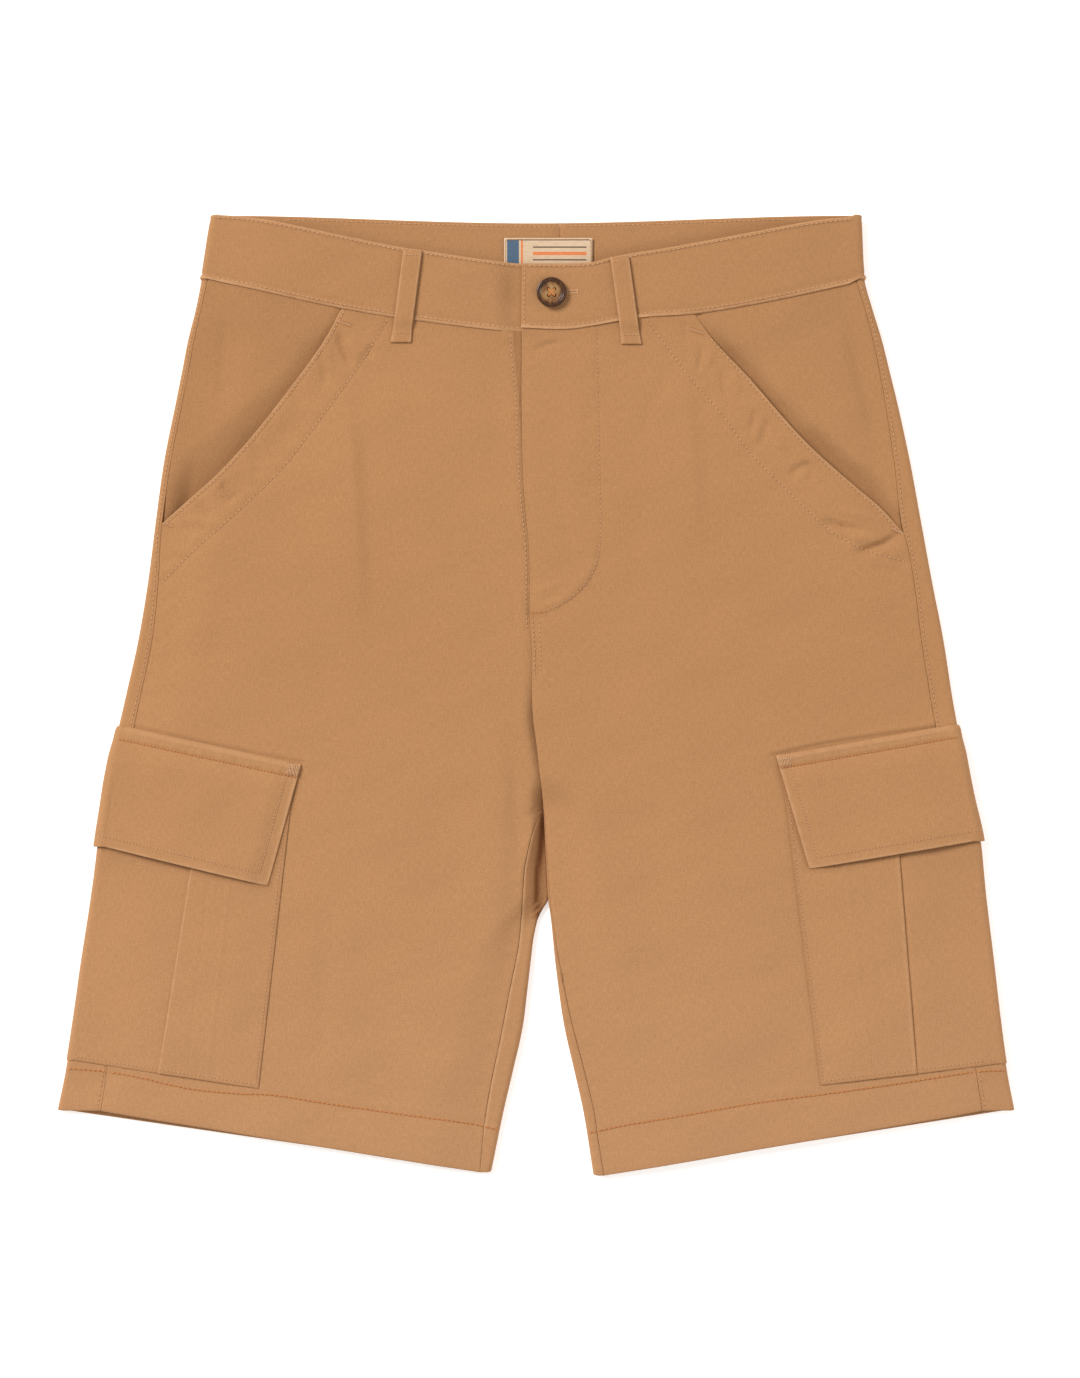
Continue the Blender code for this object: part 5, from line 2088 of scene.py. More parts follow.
@dataclass(frozen=True)
class PocketFacing(LegPiece):
    """The piece seen inside a slanted hip pocket, sewn to the outseam and the waist seam."""

    kind = "pocket_facing"
    sheet = {"flat": (0.135, 0.185), "area": 0.0155}
    rests_on = "back_{}_cloth"
    underlap: float = 36.0
    wall: float = 0.85
    columns: int = 74
    rows: int = 104
    width: float = 120.0
    top: float = 250.0
    below_mouth: float = 26.0

    def sunk(self, x: Array, y: Array, mouth: Array, seam: Array) -> Array:
        """How far the facing lies under the front's surface.

        Args:
            x: Places across.
            y: Places along the garment.
            mouth: Where the mouth crosses the row.
            seam: Where the outseam does.

        Returns:
            The depth in millimetres.
        """
        form, side = self.form, self.side
        end = self.plan.mouth_end()
        at_seam = 1.3 * smooth((end + self.below_mouth - y) / self.below_mouth)
        from_mouth = np.maximum(side.sign * (x - mouth), 0.0)
        down = smooth((form.waist_seams[side](x) - y - 3.0) / 34.0)
        low = smooth((200.0 - y) / 80.0)
        layer = mix(1.0, 0.1, smooth(from_mouth / 5.0)) * (1.0 - down) + 1.3 * down
        if side is Side.RIGHT:
            hollow = mix(1.4, 4.4, low) * (1.0 - smooth(from_mouth / mix(14.0, 44.0, low)))
        else:
            risen = smooth((from_mouth - mix(2.0, 7.0, low)) / mix(16.0, 17.0, low))
            hollow = mix(3.0, 4.6, low) * (1.0 - risen)
        folds = down * sum(crease.relief(x, y) for crease in form.hip_creases[side])
        inside = smooth(np.abs(seam - x) / 15.0)
        least = mix(0.1, 1.0, smooth((2.0 - from_mouth) / 2.0))
        return mix(at_seam, np.maximum(layer + hollow * down - folds, least), inside)

    def wear_and_painted_light(self, x: Array, y: Array) -> Array:
        """How dark the facing is painted with shade, most of all beside the mouth.

        Args:
            x: Places across.
            y: Places along the garment.

        Returns:
            The painted shade at each place, from -1 to 1.
        """
        form, side = self.form, self.side
        mouth = form.mouths[side](np.clip(y, self.plan.mouth_end(), self.plan.mouth_top))
        inside = np.maximum(side.sign * (x - mouth), 0.0)
        low = smooth((200.0 - y) / 80.0)
        near = smooth((226.0 - y) / 20.0)
        # Painted shade where the front's mouth edge stands over the facing: wide and deep low down on the right, close
        # to the mouth on the left.
        if side is Side.RIGHT:
            deep = 1.0 - smooth((inside - 12.0) / 22.0)
            return -0.11 - 0.07 * near * bell(inside, 7.0) - 0.10 * low * deep
        return -0.03 - 0.23 * near * (1.0 - smooth((inside - 3.0) / mix(9.0, 14.0, low)))

    def face(self) -> Face:
        """The facing's outer face.

        Returns:
            The face.
        """
        plan, form, side = self.plan, self.form, self.side
        sign, end = side.sign, plan.mouth_end()
        ys = np.linspace(self.top, end - self.below_mouth, self.rows)[:, None]
        seam_x = form.outseams[side](ys)
        mouth_x = form.mouths[side](np.clip(ys, end, plan.mouth_top))
        inner = mouth_x - sign * self.underlap
        t = spaced(np.array([self.width]), self.columns, start=False)[0][None] / self.width
        x = mix(inner, seam_x, t)
        y = np.minimum(ys + 0 * x, form.waist_seams[side](x) + 0.4 - 0.012 * (self.top - ys))
        z = np.maximum(form.front(side, x, y) - self.sunk(x, y, mouth_x, seam_x), 2.2)
        return Face(np.stack([x, y, z], axis=2), sign).rolled((Rim.END,), 0.35)


@dataclass(frozen=True)
class Waistband(LegPiece):
    """Half of the waistband: from its front end, round the side fold, to the back seam."""

    kind = "waistband"
    rests_on = "front_{}_cloth"
    half: float = 1.1
    proud: float = 0.75
    columns: int = 96
    back_seam_x: float = 14.4
    fold_y: float = 270.0
    side_ys: tuple[float, float] = (249.8, 288.8)

    def surface(self, x: Array, y: Array) -> Array:
        """How high the band's outer face stands on the front.

        Args:
            x: Places across.
            y: Places along the garment.

        Returns:
            The height over the resting plane.
        """
        side = self.side
        high = self.form.front(side, x, np.minimum(y, 288.0)) + self.proud
        if side is Side.RIGHT:
            high = high - (2 * self.half + 0.3) * smooth((x + 25.0) / 13.0)
        return high

    def face(self) -> Face:
        """The band's outer face.

        Returns:
            The face.
        """
        side, form, sign = self.side, self.form, self.side.sign
        end_x = 36.0 if side is Side.RIGHT else -8.6
        shoulder = form.edges[side](self.fold_y) - sign * (form.fold_radius + 5.0)
        steps = (0.0, 0.2, 0.45, 0.75, 1.1, 1.5, 2.0, 2.6, 3.4, 4.6)
        h = spaced(np.array([form.band_height]), 14, steps=steps)[0][::-1, None] / form.band_height
        width = abs(shoulder - end_x)
        ts = spaced(np.array([width]), self.columns, end=False)[0] / width
        x = mix(end_x, shoulder, ts)[None] + 0 * h
        low = form.waist_seams[side](x) - 0.5
        y = mix(low, form.band_tops[side](x), h)
        if side is Side.LEFT:
            x = x - 0.4 * (1 - h) * (1 - ts[None])
        places = [np.stack([x, y, self.surface(x, y)], axis=2)]
        y = mix(*self.side_ys, h)
        edge = form.edges[side](y)
        angles = np.radians(np.linspace(90.0, -90.0, 15))[None]
        reach = form.fold_radius + self.proud
        arc_x = edge + sign * (reach * np.cos(angles) - form.fold_radius)
        arc_z = form.band_lift + form.fold_radius + reach * np.sin(angles)
        places.append(np.stack([arc_x, y + 0 * arc_x, arc_z + 0 * arc_x], axis=2))
        back = np.linspace(0.0, 1.0, 60)[None, 1:]
        seam = self.back_seam_x + sign * 0.05
        x = mix(edge - sign * (form.fold_radius + 1.0), seam, back)
        y = form.back_top(x) - form.band_height * (1.0 - h)
        low_z = form.band_lift + form.fold_radius - reach
        z = mix(low_z, form.band_lift - 0.3, smooth(back / 0.1)) + 0 * x
        places.append(np.stack([x, y, z], axis=2))
        return Face(np.concatenate(places, axis=1), sign).moved_out(self.bead(h * form.band_height))

    def bead(self, up: Array) -> Array:
        """The pressed bead along the band's edges and the groove beside it.

        Args:
            up: Millimetres above the lower edge.

        Returns:
            The relief in millimetres.
        """
        down = self.form.band_height - up
        low = 0.7 * bell(up - 1.4, 0.75) - 0.4 * bell(up - 3.4, 1.1)
        high = 0.15 * bell(down - 1.5, 0.9) - 0.2 * bell(down - 3.2, 1.1)
        return low + high

    def wear_and_painted_light(self, x: Array, y: Array) -> Array:
        """How pale the band is along its edges, part wear and part painted highlight on the pressed bead, with a
        painted shade on the right half beside the left half's end.

        Args:
            x: Places across.
            y: Places along the garment.

        Returns:
            The painted wear and light at each place, from -1 to 1.
        """
        form, side = self.form, self.side
        up, down = y - form.waist_seams[side](x), form.band_tops[side](x) - y
        # Pale along both edges: part wear, part painted highlight.
        lit_and_worn_edge = 0.75 * bell(up - 0.7, 1.1) + 0.25 * bell(down - 0.6, 0.8)
        # Painted shade on the right half beside the left half's end.
        under = np.exp(-(((x + 17.0) / 6.5) ** 2) - ((y - 244.0) / 8.0) ** 2)
        return lit_and_worn_edge - (0.12 * under if side is Side.RIGHT else 0.0)

    def stitch_rows(self) -> list[StitchRow]:
        """The rows of stitches along the band's edges and its front end.

        Returns:
            The rows.
        """
        side, form, sign = self.side, self.form, self.side.sign
        start = -5.0 if side is Side.LEFT else -10.0
        stop = form.edges[side](self.fold_y) - sign * 6.0
        xs = np.linspace(start, stop, 40)
        rows = [
            StitchRow(Polyline(tuple(zip(xs, form.band_tops[side](xs) - 2.0)))),
            StitchRow(Polyline(tuple(zip(xs, form.waist_seams[side](xs) + 2.2)))),
        ]
        if side is Side.LEFT:
            rows.append(StitchRow(Polyline(((-6.8, 257.0), (-6.9, 222.4)), False)))
        return rows

    def inside_rows(self) -> list[StitchRow]:
        """The row of stitches along the inside of the back, below its upper edge.

        Returns:
            The rows.
        """
        form, sign = self.form, self.side.sign
        xs = np.linspace(self.back_seam_x + sign * 2.0, sign * 150.0, 30)
        return [StitchRow(Polyline(tuple(zip(xs, form.back_top(xs) - 2.2))))]

    @property
    def sheet(self) -> dict:
        """What its record says; the right half has an underlap."""
        return {"flat": (0.470 if self.side is Side.RIGHT else 0.400, 0.039)}

    def cloth(self, name: str) -> Piece:
        """The band as two layers of cloth.

        Args:
            name: The piece's name.

        Returns:
            The mesh object.
        """
        face = self.face()
        middle = face.moved_out(np.full(face.points.shape[:2], -self.half))
        return folded_piece(name, middle, self.half)

    def sew(self, name: str, cloth: Piece, stitcher: Stitcher) -> list[Piece]:
        """Sews the rows of the outside and of the inside."""
        sewn = super().sew(name, cloth, stitcher)
        return sewn + stitcher.sew(f"{name}_inside", self.inside_rows(), cloth)


@dataclass(frozen=True)
class PatchRow:
    """One row of a patch: its front end, its height at the side fold and its stations."""

    front: Point
    side_y: float
    stations: Array


@dataclass(frozen=True)
class LegPatch(LegPiece):
    """A patch that starts on the front, wraps the side fold and ends under the leg."""

    wrap: float = 27.0

    def cloth(self, name: str) -> Piece:
        """The patch with turned edges."""
        return folded_piece(name, self.face(), self.half)

    def shoulder(self, side_y: float) -> float:
        """Where a row leaves the front for the side fold."""
        form, side = self.form, self.side
        return float(form.edges[side](side_y)) - side.sign * (form.fold_radius + 1.0)

    def ends(self, t: float) -> tuple[Point, float, float]:
        """Where a row of the patch lies.

        Args:
            t: The row's share of the way down.

        Returns:
            Its front end, its height at the side fold and its length.
        """
        top, top_y, foot, foot_y = self.corners[:4]
        front = (mix(top[0], foot[0], t), mix(top[1], foot[1], t))
        side_y = mix(top_y, foot_y, t)
        return front, side_y, abs(self.shoulder(side_y) - front[0])

    def on_row(self, t: float, share: float) -> Point:
        """A place by its row's share of the way down and its own share of the way to the side."""
        front, side_y, _ = self.ends(t)
        return (mix(front[0], self.shoulder(side_y), share), mix(front[1], side_y, share))

    def row(self, row: PatchRow) -> Array:
        """The places of one row.

        Args:
            row: The row; its stations are (millimetres from the front end, height over the front).

        Returns:
            An array of (x, y, z) rows in millimetres.
        """
        form, side, sign = self.form, self.side, self.side.sign
        shoulder = self.shoulder(row.side_y)
        reach = abs(shoulder - row.front[0])
        t = row.stations[:, 0] / reach
        x, y = mix(row.front[0], shoulder, t), mix(row.front[1], row.side_y, t)
        z = form.front(side, x, y) + row.stations[:, 1]
        top = np.stack([x, y, z], axis=1)
        last = row.stations[-1, 1]
        angles = np.linspace(90.0, -90.0, 13)
        fold_x = form.fold_x(side, row.side_y, angles, last)
        fold_z = form.fold_z(side, row.side_y, angles, last)
        arc = np.stack([fold_x, row.side_y + 0 * fold_x, fold_z], axis=1)
        edge = form.edges[side](row.side_y)
        shares = np.array([0.12, 0.3, 0.5, 0.7, 0.85, 0.94, 0.98, 1.0])
        under_x = edge - sign * mix(form.fold_radius, self.wrap, shares)
        under_z = form.lift(side, under_x, row.side_y) - last
        under = np.stack([under_x, row.side_y + 0 * under_x, under_z], axis=1)
        return np.concatenate([top, arc, under])


@dataclass(frozen=True)
class CargoPocket(LegPatch):
    """A cargo pocket with a pleat folded under along its middle."""

    kind = "cargo_pocket"
    sheet = {"flat": (0.180, 0.195), "area": 0.0330}
    rests_on = "front_{}_cloth"
    half: float = 0.27
    rows: int = 78
    pleat_fold: float = 0.3
    pleat_depth: float = 12.0
    base: float = 0.45
    full: float = 1.62
    drop: float = 185.0

    @property
    def corners(self) -> tuple[Point, float, Point, float, float, float]:
        """The front edge's ends, each with its height at the side, then the pleat's ends.

        Returns:
            Places and heights in millimetres.
        """
        if self.side is Side.RIGHT:
            return (-145.4, -52.0), -31.0, (-166.4, -235.9), -219.0, -196.8, -226.4
        return (147.6, -50.0), -31.0, (170.4, -233.9), -221.0, 213.0, 228.3

    def stations(self, reach: float, pleat: float) -> Array:
        """A row's stations: over the pocket, round the pleat's two folds and on to the side.

        Args:
            reach: The row's length to the side fold.
            pleat: Where the pleat's outer fold lies.

        Returns:
            Rows of (millimetres from the front end, height over the front).
        """
        r, back = self.pleat_fold, pleat - self.pleat_depth
        front = spaced(np.array([pleat - r]), 60, end=False)[0]
        height = mix(self.base, self.full, smooth(front / (0.55 * back)))
        turn = np.radians([60, 30, 0, -30, -60])
        fold = np.column_stack([pleat - r + r * np.cos(turn), self.full - r + r * np.sin(turn)])
        under = np.column_stack(
            [np.linspace(pleat - r, back + r, 7), np.full(7, self.full - 2 * r)]
        )
        turn = np.radians([120, 150, 180, 210, 240])
        low = self.full - 3 * r
        second = np.column_stack([back + r + r * np.cos(turn), low + r * np.sin(turn)])
        out = np.concatenate(
            [
                np.linspace(back + r, pleat, 9)[:-1],
                pleat + 0.9 * np.arange(7),
                np.linspace(pleat + 6.3, reach, 16)[1:],
            ]
        )
        foot = mix(self.full - 4 * r, self.base, smooth((out - pleat) / 26.0))
        if self.side is Side.LEFT:
            risen = smooth((out - pleat - 0.5) / 3.0)
            foot = foot + 0.6 * risen * (1.0 - smooth((out - pleat - 4.0) / 24.0))
        return np.concatenate(
            [np.column_stack([front, height]), fold, under, second, np.column_stack([out, foot])]
        )

    def face(self) -> Face:
        """The pocket's middle surface.

        Returns:
            The face.
        """
        pleat_top, pleat_foot = self.corners[4:]
        sign = self.side.sign
        places = []
        for t in spaced(np.array([self.drop]), self.rows)[0] / self.drop:
            front, side_y, reach = self.ends(t)
            pleat = sign * (mix(pleat_top, pleat_foot, t) - front[0])
            stations = self.stations(reach, pleat)
            along = self.drop * t
            across, height = stations[:, 0], stations[:, 1]
            wave = 0.22 * np.sin(along / 8.5 + across / 19.0)
            wave = wave + 0.18 * np.sin(along / 15.0 - across / 11.0 + 2.0)
            swell = smooth(across / 14.0) * smooth((reach - across) / 14.0)
            near = bell(along - self.drop, 26.0) + 0.5 * bell(across - 6.0, 7.0)
            pressed = 0.22 * bell(across - 31.0, 1.3) - 0.12 * bell(across - 43.0, 1.5)
            height += pressed * smooth(t / 0.1) * (height > self.full * 0.9)
            height += wave * swell * (0.35 + 0.6 * near) * (height > self.base * 0.99)
            flatter = np.minimum(height, self.base + 0.62 * (height - self.base))
            stations[:, 1] = mix(flatter, height, smooth((self.drop - along) / 22.0))
            places.append(self.row(PatchRow(front, side_y, stations)))
        return Face(np.stack(places), sign)

    def inset_line(self, inset: float, rim: Rim, start: float = 0.0, stop: float = 1.0) -> Polyline:
        """A line along one of the pocket's sewn edges, at an inset.

        Args:
            inset: Millimetres from the edge.
            rim: The edge.
            start: Where it starts, as a share of the edge.
            stop: Where it ends.

        Returns:
            The line.
        """
        points = []
        for t in np.linspace(start, stop, 30):
            if rim is Rim.START:
                points.append(self.on_row(t, inset / self.ends(t)[2]))
            else:
                points.append(self.on_row(1.0 - inset / self.drop, t))
        return Polyline(tuple(points), False)

    def pleat_line(self) -> Polyline:
        """The pleat's outer fold.

        Returns:
            The line.
        """
        top, top_y, foot, foot_y, pleat_top, pleat_foot = self.corners
        ends = []
        for corner, side_y, x in ((top, top_y, pleat_top), (foot, foot_y, pleat_foot)):
            share = (x - corner[0]) / (self.shoulder(side_y) - corner[0])
            ends.append((x, mix(corner[1], side_y, share)))
        return Polyline(tuple(ends), False)

    def wear_and_painted_light(self, x: Array, y: Array) -> Array:
        """The pale pleat fold, part wear and part painted highlight, with painted shade along the sewn edges and
        painted shadow below the flap.

        Args:
            x: Places across.
            y: Places along the garment.

        Returns:
            The painted light and shade at each place, from -1 to 1.
        """
        # A pale line along the pleat's outer fold: part wear, part painted highlight.
        aside, share = (0.0, 0.3) if self.side is Side.RIGHT else (1.3, 0.2)
        fold, _ = self.pleat_line().distance(x + aside, y)
        sewn = np.minimum(
            *(np.abs(self.inset_line(0.3, rim).distance(x, y)[0]) for rim in (Rim.START, Rim.FOOT))
        )
        # Painted shade along the sewn edges, and the flap's painted shadow.
        unfaded = np.maximum(0.2 * bell(sewn, 0.8), CargoFlap(self.plan).shade(x, y))
        return share * bell(fold, 0.7) - unfaded

    def stitch_rows(self) -> list[StitchRow]:
        """The rows of stitches along the front and lower edges.

        Returns:
            The rows.
        """
        front = self.inset_line(2.2, Rim.START, 0.01, 0.985)
        lower = self.inset_line(2.4, Rim.FOOT, 0.02, 1.0)
        return [StitchRow(line, pitch=2.4, length=1.7, thickness=0.45) for line in (front, lower)]


@dataclass(frozen=True)
class CargoFlap(LegPatch):
    """The flap over a cargo pocket, with rust topstitching and a bartack at its corner."""

    kind = "cargo_flap"
    sheet = {"flat": (0.155, 0.078)}
    rests_on = "cargo_pocket_{}_cloth"
    half: float = 0.5
    rows: int = 74
    drop: float = 74.0
    slant: float = 76.0

    @property
    def corners(self) -> tuple[Point, float, Point, float]:
        """The front edge's ends, each with its height at the side.

        Returns:
            Places and heights in millimetres.
        """
        if self.side is Side.RIGHT:
            return (-140.6, -41.1), -18.4, (-160.8, -114.3), -90.7
        return (143.6, -35.9), -17.5, (163.8, -104.0), -87.4

    def face(self) -> Face:
        """The flap's middle surface.

        Returns:
            The face.
        """
        places = []
        for t in spaced(np.array([self.drop]), self.rows)[0] / self.drop:
            front, side_y, reach = self.ends(t)
            s = spaced(np.array([reach]), 112, end=False)[0]
            down = t * self.drop
            rise = 0.45 * smooth(down / 2.6) + 0.55 * smooth((down - 6.0) / 14.0)
            low = mix(0.6, 1.3, rise)
            flared = smooth((t - 0.6) / 0.4)
            height = mix(low, mix(0.65, 3.3, rise) + 1.0 * flared, smooth(s / 15.0))
            at_side = mix(0.6, 2.0, rise) + 0.7 * flared
            height = mix(height, at_side, smooth((s - 0.72 * reach) / (0.28 * reach)))
            wave = 0.14 * np.sin(s / 9.0 + t * 3.0) + 0.10 * np.sin(s / 5.2 - t * 5.0)
            height = height + wave * rise * smooth(s / 8.0) * smooth((reach - s) / 12.0)
            height = height + self.pressed(down, s) * smooth((reach - s) / 6.0)
            places.append(self.row(PatchRow(front, side_y, np.column_stack([s, height]))))
        return Face(np.stack(places), self.side.sign)

    def pressed(self, down: Array, across: Array) -> Array:
        """The piped edge above the upper stitches, its gathers and the grooves along every row.

        Args:
            down: Millimetres below the top edge.
            across: Millimetres from the front edge.

        Returns:
            The relief in millimetres.
        """
        piping = 0.6 * bell(down - 2.6, 1.5) + 0.25 * bell(down - 6.2, 1.4)
        gathers = 0.10 * np.sin(across / 0.9 + 1.1 * np.sin(across / 5.0))
        gathers = gathers + 0.12 * np.sin(across / 2.3 + 0.8)
        near = bell(down - 7.0, 3.0) * smooth(down / 3.0)
        grooves = -0.5 * bell(down - 8.7, 1.0) - 0.15 * bell(down - 10.9, 1.4)
        grooves = grooves - 0.1 * bell(across - 6.5, 1.1) * smooth((down - 8.0) / 3.0)
        grooves = grooves - 0.1 * bell(down - 69.5, 1.1) * smooth((across - 5.0) / 3.0)
        lump = 0.5 * np.exp(-(((across - 3.6) / 2.6) ** 2) - ((down - 5.0) / 4.0) ** 2)
        return piping + gathers * near + grooves + lump

    def wear_and_painted_light(self, x: Array, y: Array) -> Array:
        """How pale the flap is along its front and lower edges and its piped top: part wear, part painted highlight.

        Args:
            x: Places across.
            y: Places along the garment.

        Returns:
            The painted wear and light at each place, from -1 to 1.
        """
        edges = Polyline(
            (self.place(0.6, 1.0), self.place(75.4, 0.6), self.place(75.4, 96.0)), False
        )
        piping = Polyline((self.place(2.4, 1.0), self.place(2.4, 104.0)), False)
        rim, _ = edges.distance(x, y)
        top, _ = piping.distance(x, y)
        # Pale edges and piping: part wear, part painted highlight.
        return 0.35 * bell(rim, 0.9) + 0.2 * bell(top, 2.2)

    def shade(self, x: Array, y: Array) -> Array:
        """The painted shadow that the flap casts beside its front and lower edges.

        Args:
            x: Places across.
            y: Places along the garment.

        Returns:
            How dark the painted shadow is, from 0 to 1.
        """
        # Painted shadow, darkest along the flap's edges.
        edges = Polyline(
            (self.place(8.0, 0.0), self.place(76.0, 0.0), self.place(76.0, 100.0)), False
        )
        far, _ = edges.distance(x, y)
        return 0.3 * bell(far, 2.2)

    def place(self, down: float, across: float) -> Point:
        """A place on the flap, by its distances from the top edge and from the front edge."""
        t = down / self.slant
        return self.on_row(t, across / self.ends(t)[2])

    def stitch_rows(self) -> list[StitchRow]:
        """The topstitching, the bartack at the corner and three loose threads.

        Returns:
            The rows.
        """
        reach = self.ends(0.0)[2]
        across = np.linspace(6.5, reach + 2.0, 24)
        rows = []
        for points, thread, thickness in (
            ([(8.6, s) for s in np.linspace(0.8, reach + 2.0, 24)], Thread.RUST, 0.75),
            ([(69.5, s) for s in across], Thread.TONAL, 0.5),
            ([(d, 6.5) for d in np.linspace(9.0, 69.5, 16)], Thread.TONAL, 0.5),
        ):
            line = Polyline(tuple(self.place(*point) for point in points), False)
            rows.append(StitchRow(line, thread, 2.1, 1.45, thickness))
        for k, end in enumerate((7.6, 6.4, 8.2, 6.8, 7.4)):
            ends = (self.place(1.0 + 1.4 * k, 0.8), self.place(1.4 + 1.4 * k, end))
            rows.append(StitchRow(Polyline(ends, False), Thread.PALE, 0.9, 2.4, 0.55, True))
        for loose in (
            ((-0.6, -3.0), (1.2, -4.6), (-2.0, 1.0)),
            ((9.0, 1.0), (11.0, -2.2), (14.5, -3.4)),
            ((3.0, 0.0), (5.2, -2.4), (8.4, -1.6)),
        ):
            line = Polyline(tuple(self.place(down, across_by + 1.5) for down, across_by in loose))
            rows.append(StitchRow(line, Thread.PALE, 0.9, 1.25, 0.3))
        return rows


@dataclass(frozen=True)
class BeltLoop:
    """A belt loop: a folded strip sewn down at both ends."""

    name: str
    top: Point
    foot: Point
    side: Side
    on_back: bool = False
    width: float = 11.4
    length: float = 54.0
    half: float = 0.65

    def face(self, form: LaidForm) -> Face:
        """The loop's middle surface.

        Args:
            form: The laid garment.

        Returns:
            The face.
        """
        s = spaced(np.array([self.length]), 26)[0][:, None] / self.length
        c = spaced(np.array([self.width]), 8)[0][None] - self.width / 2.0
        flare = 1.0 + 0.10 * smooth((s - 0.82) / 0.18)
        x = mix(self.top[0], self.foot[0], s) + c * flare
        y = mix(self.top[1], self.foot[1], s) + 0 * c
        if self.on_back:
            z = 0.95 + 0 * x
            return Face(np.stack([x, y, z], axis=2), -1.0)
        raised = 0.6 * smooth(s / 0.07) * (1.0 - smooth((s - 0.72) / 0.22))
        arch = 0.3 + raised + 0.2 * np.sin(np.pi * s) ** 2
        crown = 0.25 * (1 - (2 * c / self.width) ** 2)
        band = 0.9 * (1 - smooth((s - 0.74) / 0.12))
        z = form.front(self.side, x, y) + arch + band + crown + 0.35
        return Face(np.stack([x, y, z], axis=2), 1.0)

    def place(self, down: float, across: float) -> Point:
        """A place on the loop, by its share of the way down and millimetres across."""
        return (mix(self.top[0], self.foot[0], down) + across, mix(self.top[1], self.foot[1], down))

    def build(self, form: LaidForm, stitcher: Stitcher) -> None:
        """Makes the loop and its stitches.

        Args:
            form: The laid garment.
            stitcher: What sews the rows.
        """
        edges = [
            Polyline((self.place(0.0, side), self.place(1.0, side)), False)
            for side in (-0.47 * self.width, 0.47 * self.width)
        ]
        cloth = folded_piece(f"{self.name}_cloth", self.face(form), self.half)
        # The loop's long edges are painted pale: part wear, part painted highlight.
        stitcher.cut(
            cloth, lambda x, y: sum(0.35 * bell(edge.distance(x, y)[0], 0.8) for edge in edges)
        )
        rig.replaces(cloth, self.name)
        sewn = []
        if not self.on_back:
            bars = [(self.place(at, -4.6), self.place(at, 4.8)) for at in (0.055, 0.895)]
            rows = [StitchRow(Polyline(bar, False), pitch=1.9, length=1.5) for bar in bars]
            sewn = stitcher.sew(self.name, rows, cloth)
        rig.sheet(cloth, flat=(self.width * MM, 0.055), held="laid", with_pieces=sewn)
        LOG.info("%s: loop", self.name)


@dataclass(frozen=True)
class Fly:
    """The closed fly: the zip's tape and the shield behind it."""

    form: LaidForm

    def strip(
        self, name: str, xs: tuple[float, float], ys: tuple[float, float], drop: float, half: float
    ) -> Piece:
        """A flat strip under the left front.

        Args:
            name: The strip's name.
            xs: Its sides.
            ys: Its lower and upper ends.
            drop: How far its middle lies under the left front.
            half: Half its thickness.

        Returns:
            The strip.
        """
        x = (xs[0] + spaced(np.array([xs[1] - xs[0]]), 14)[0])[None]
        y = (ys[1] - spaced(np.array([ys[1] - ys[0]]), 40)[0])[:, None]
        x, y = x + 0 * y, y + 0 * x
        z = self.form.front(Side.LEFT, np.maximum(x, 0.0), y, False) - drop
        return folded_piece(name, Face(np.stack([x, y, z], axis=2), 1.0), half)

    def build(self, finishes: Finishes) -> None:
        """Makes the tape and the shield from the garment's finishes.

        Args:
            finishes: The garment's finishes.
        """
        tape = self.strip("zip_tape_cloth", (-14.0, 20.0), (66.0, 218.5), 2.25, 0.3)
        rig.replaces(dress(tape, finishes.tape, "zip_tape"), "zip_tape")
        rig.sheet(tape, flat=(0.034, 0.147), held="laid")
        shield = self.strip("fly_shield_cloth", (-18.0, 37.0), (52.0, 218.5), 3.3, 0.55)
        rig.replaces(dress(shield, finishes.twill, "twill"), "fly_shield")
        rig.sheet(shield, flat=(0.055, 0.161), held="laid")
        LOG.info("fly: tape and shield")


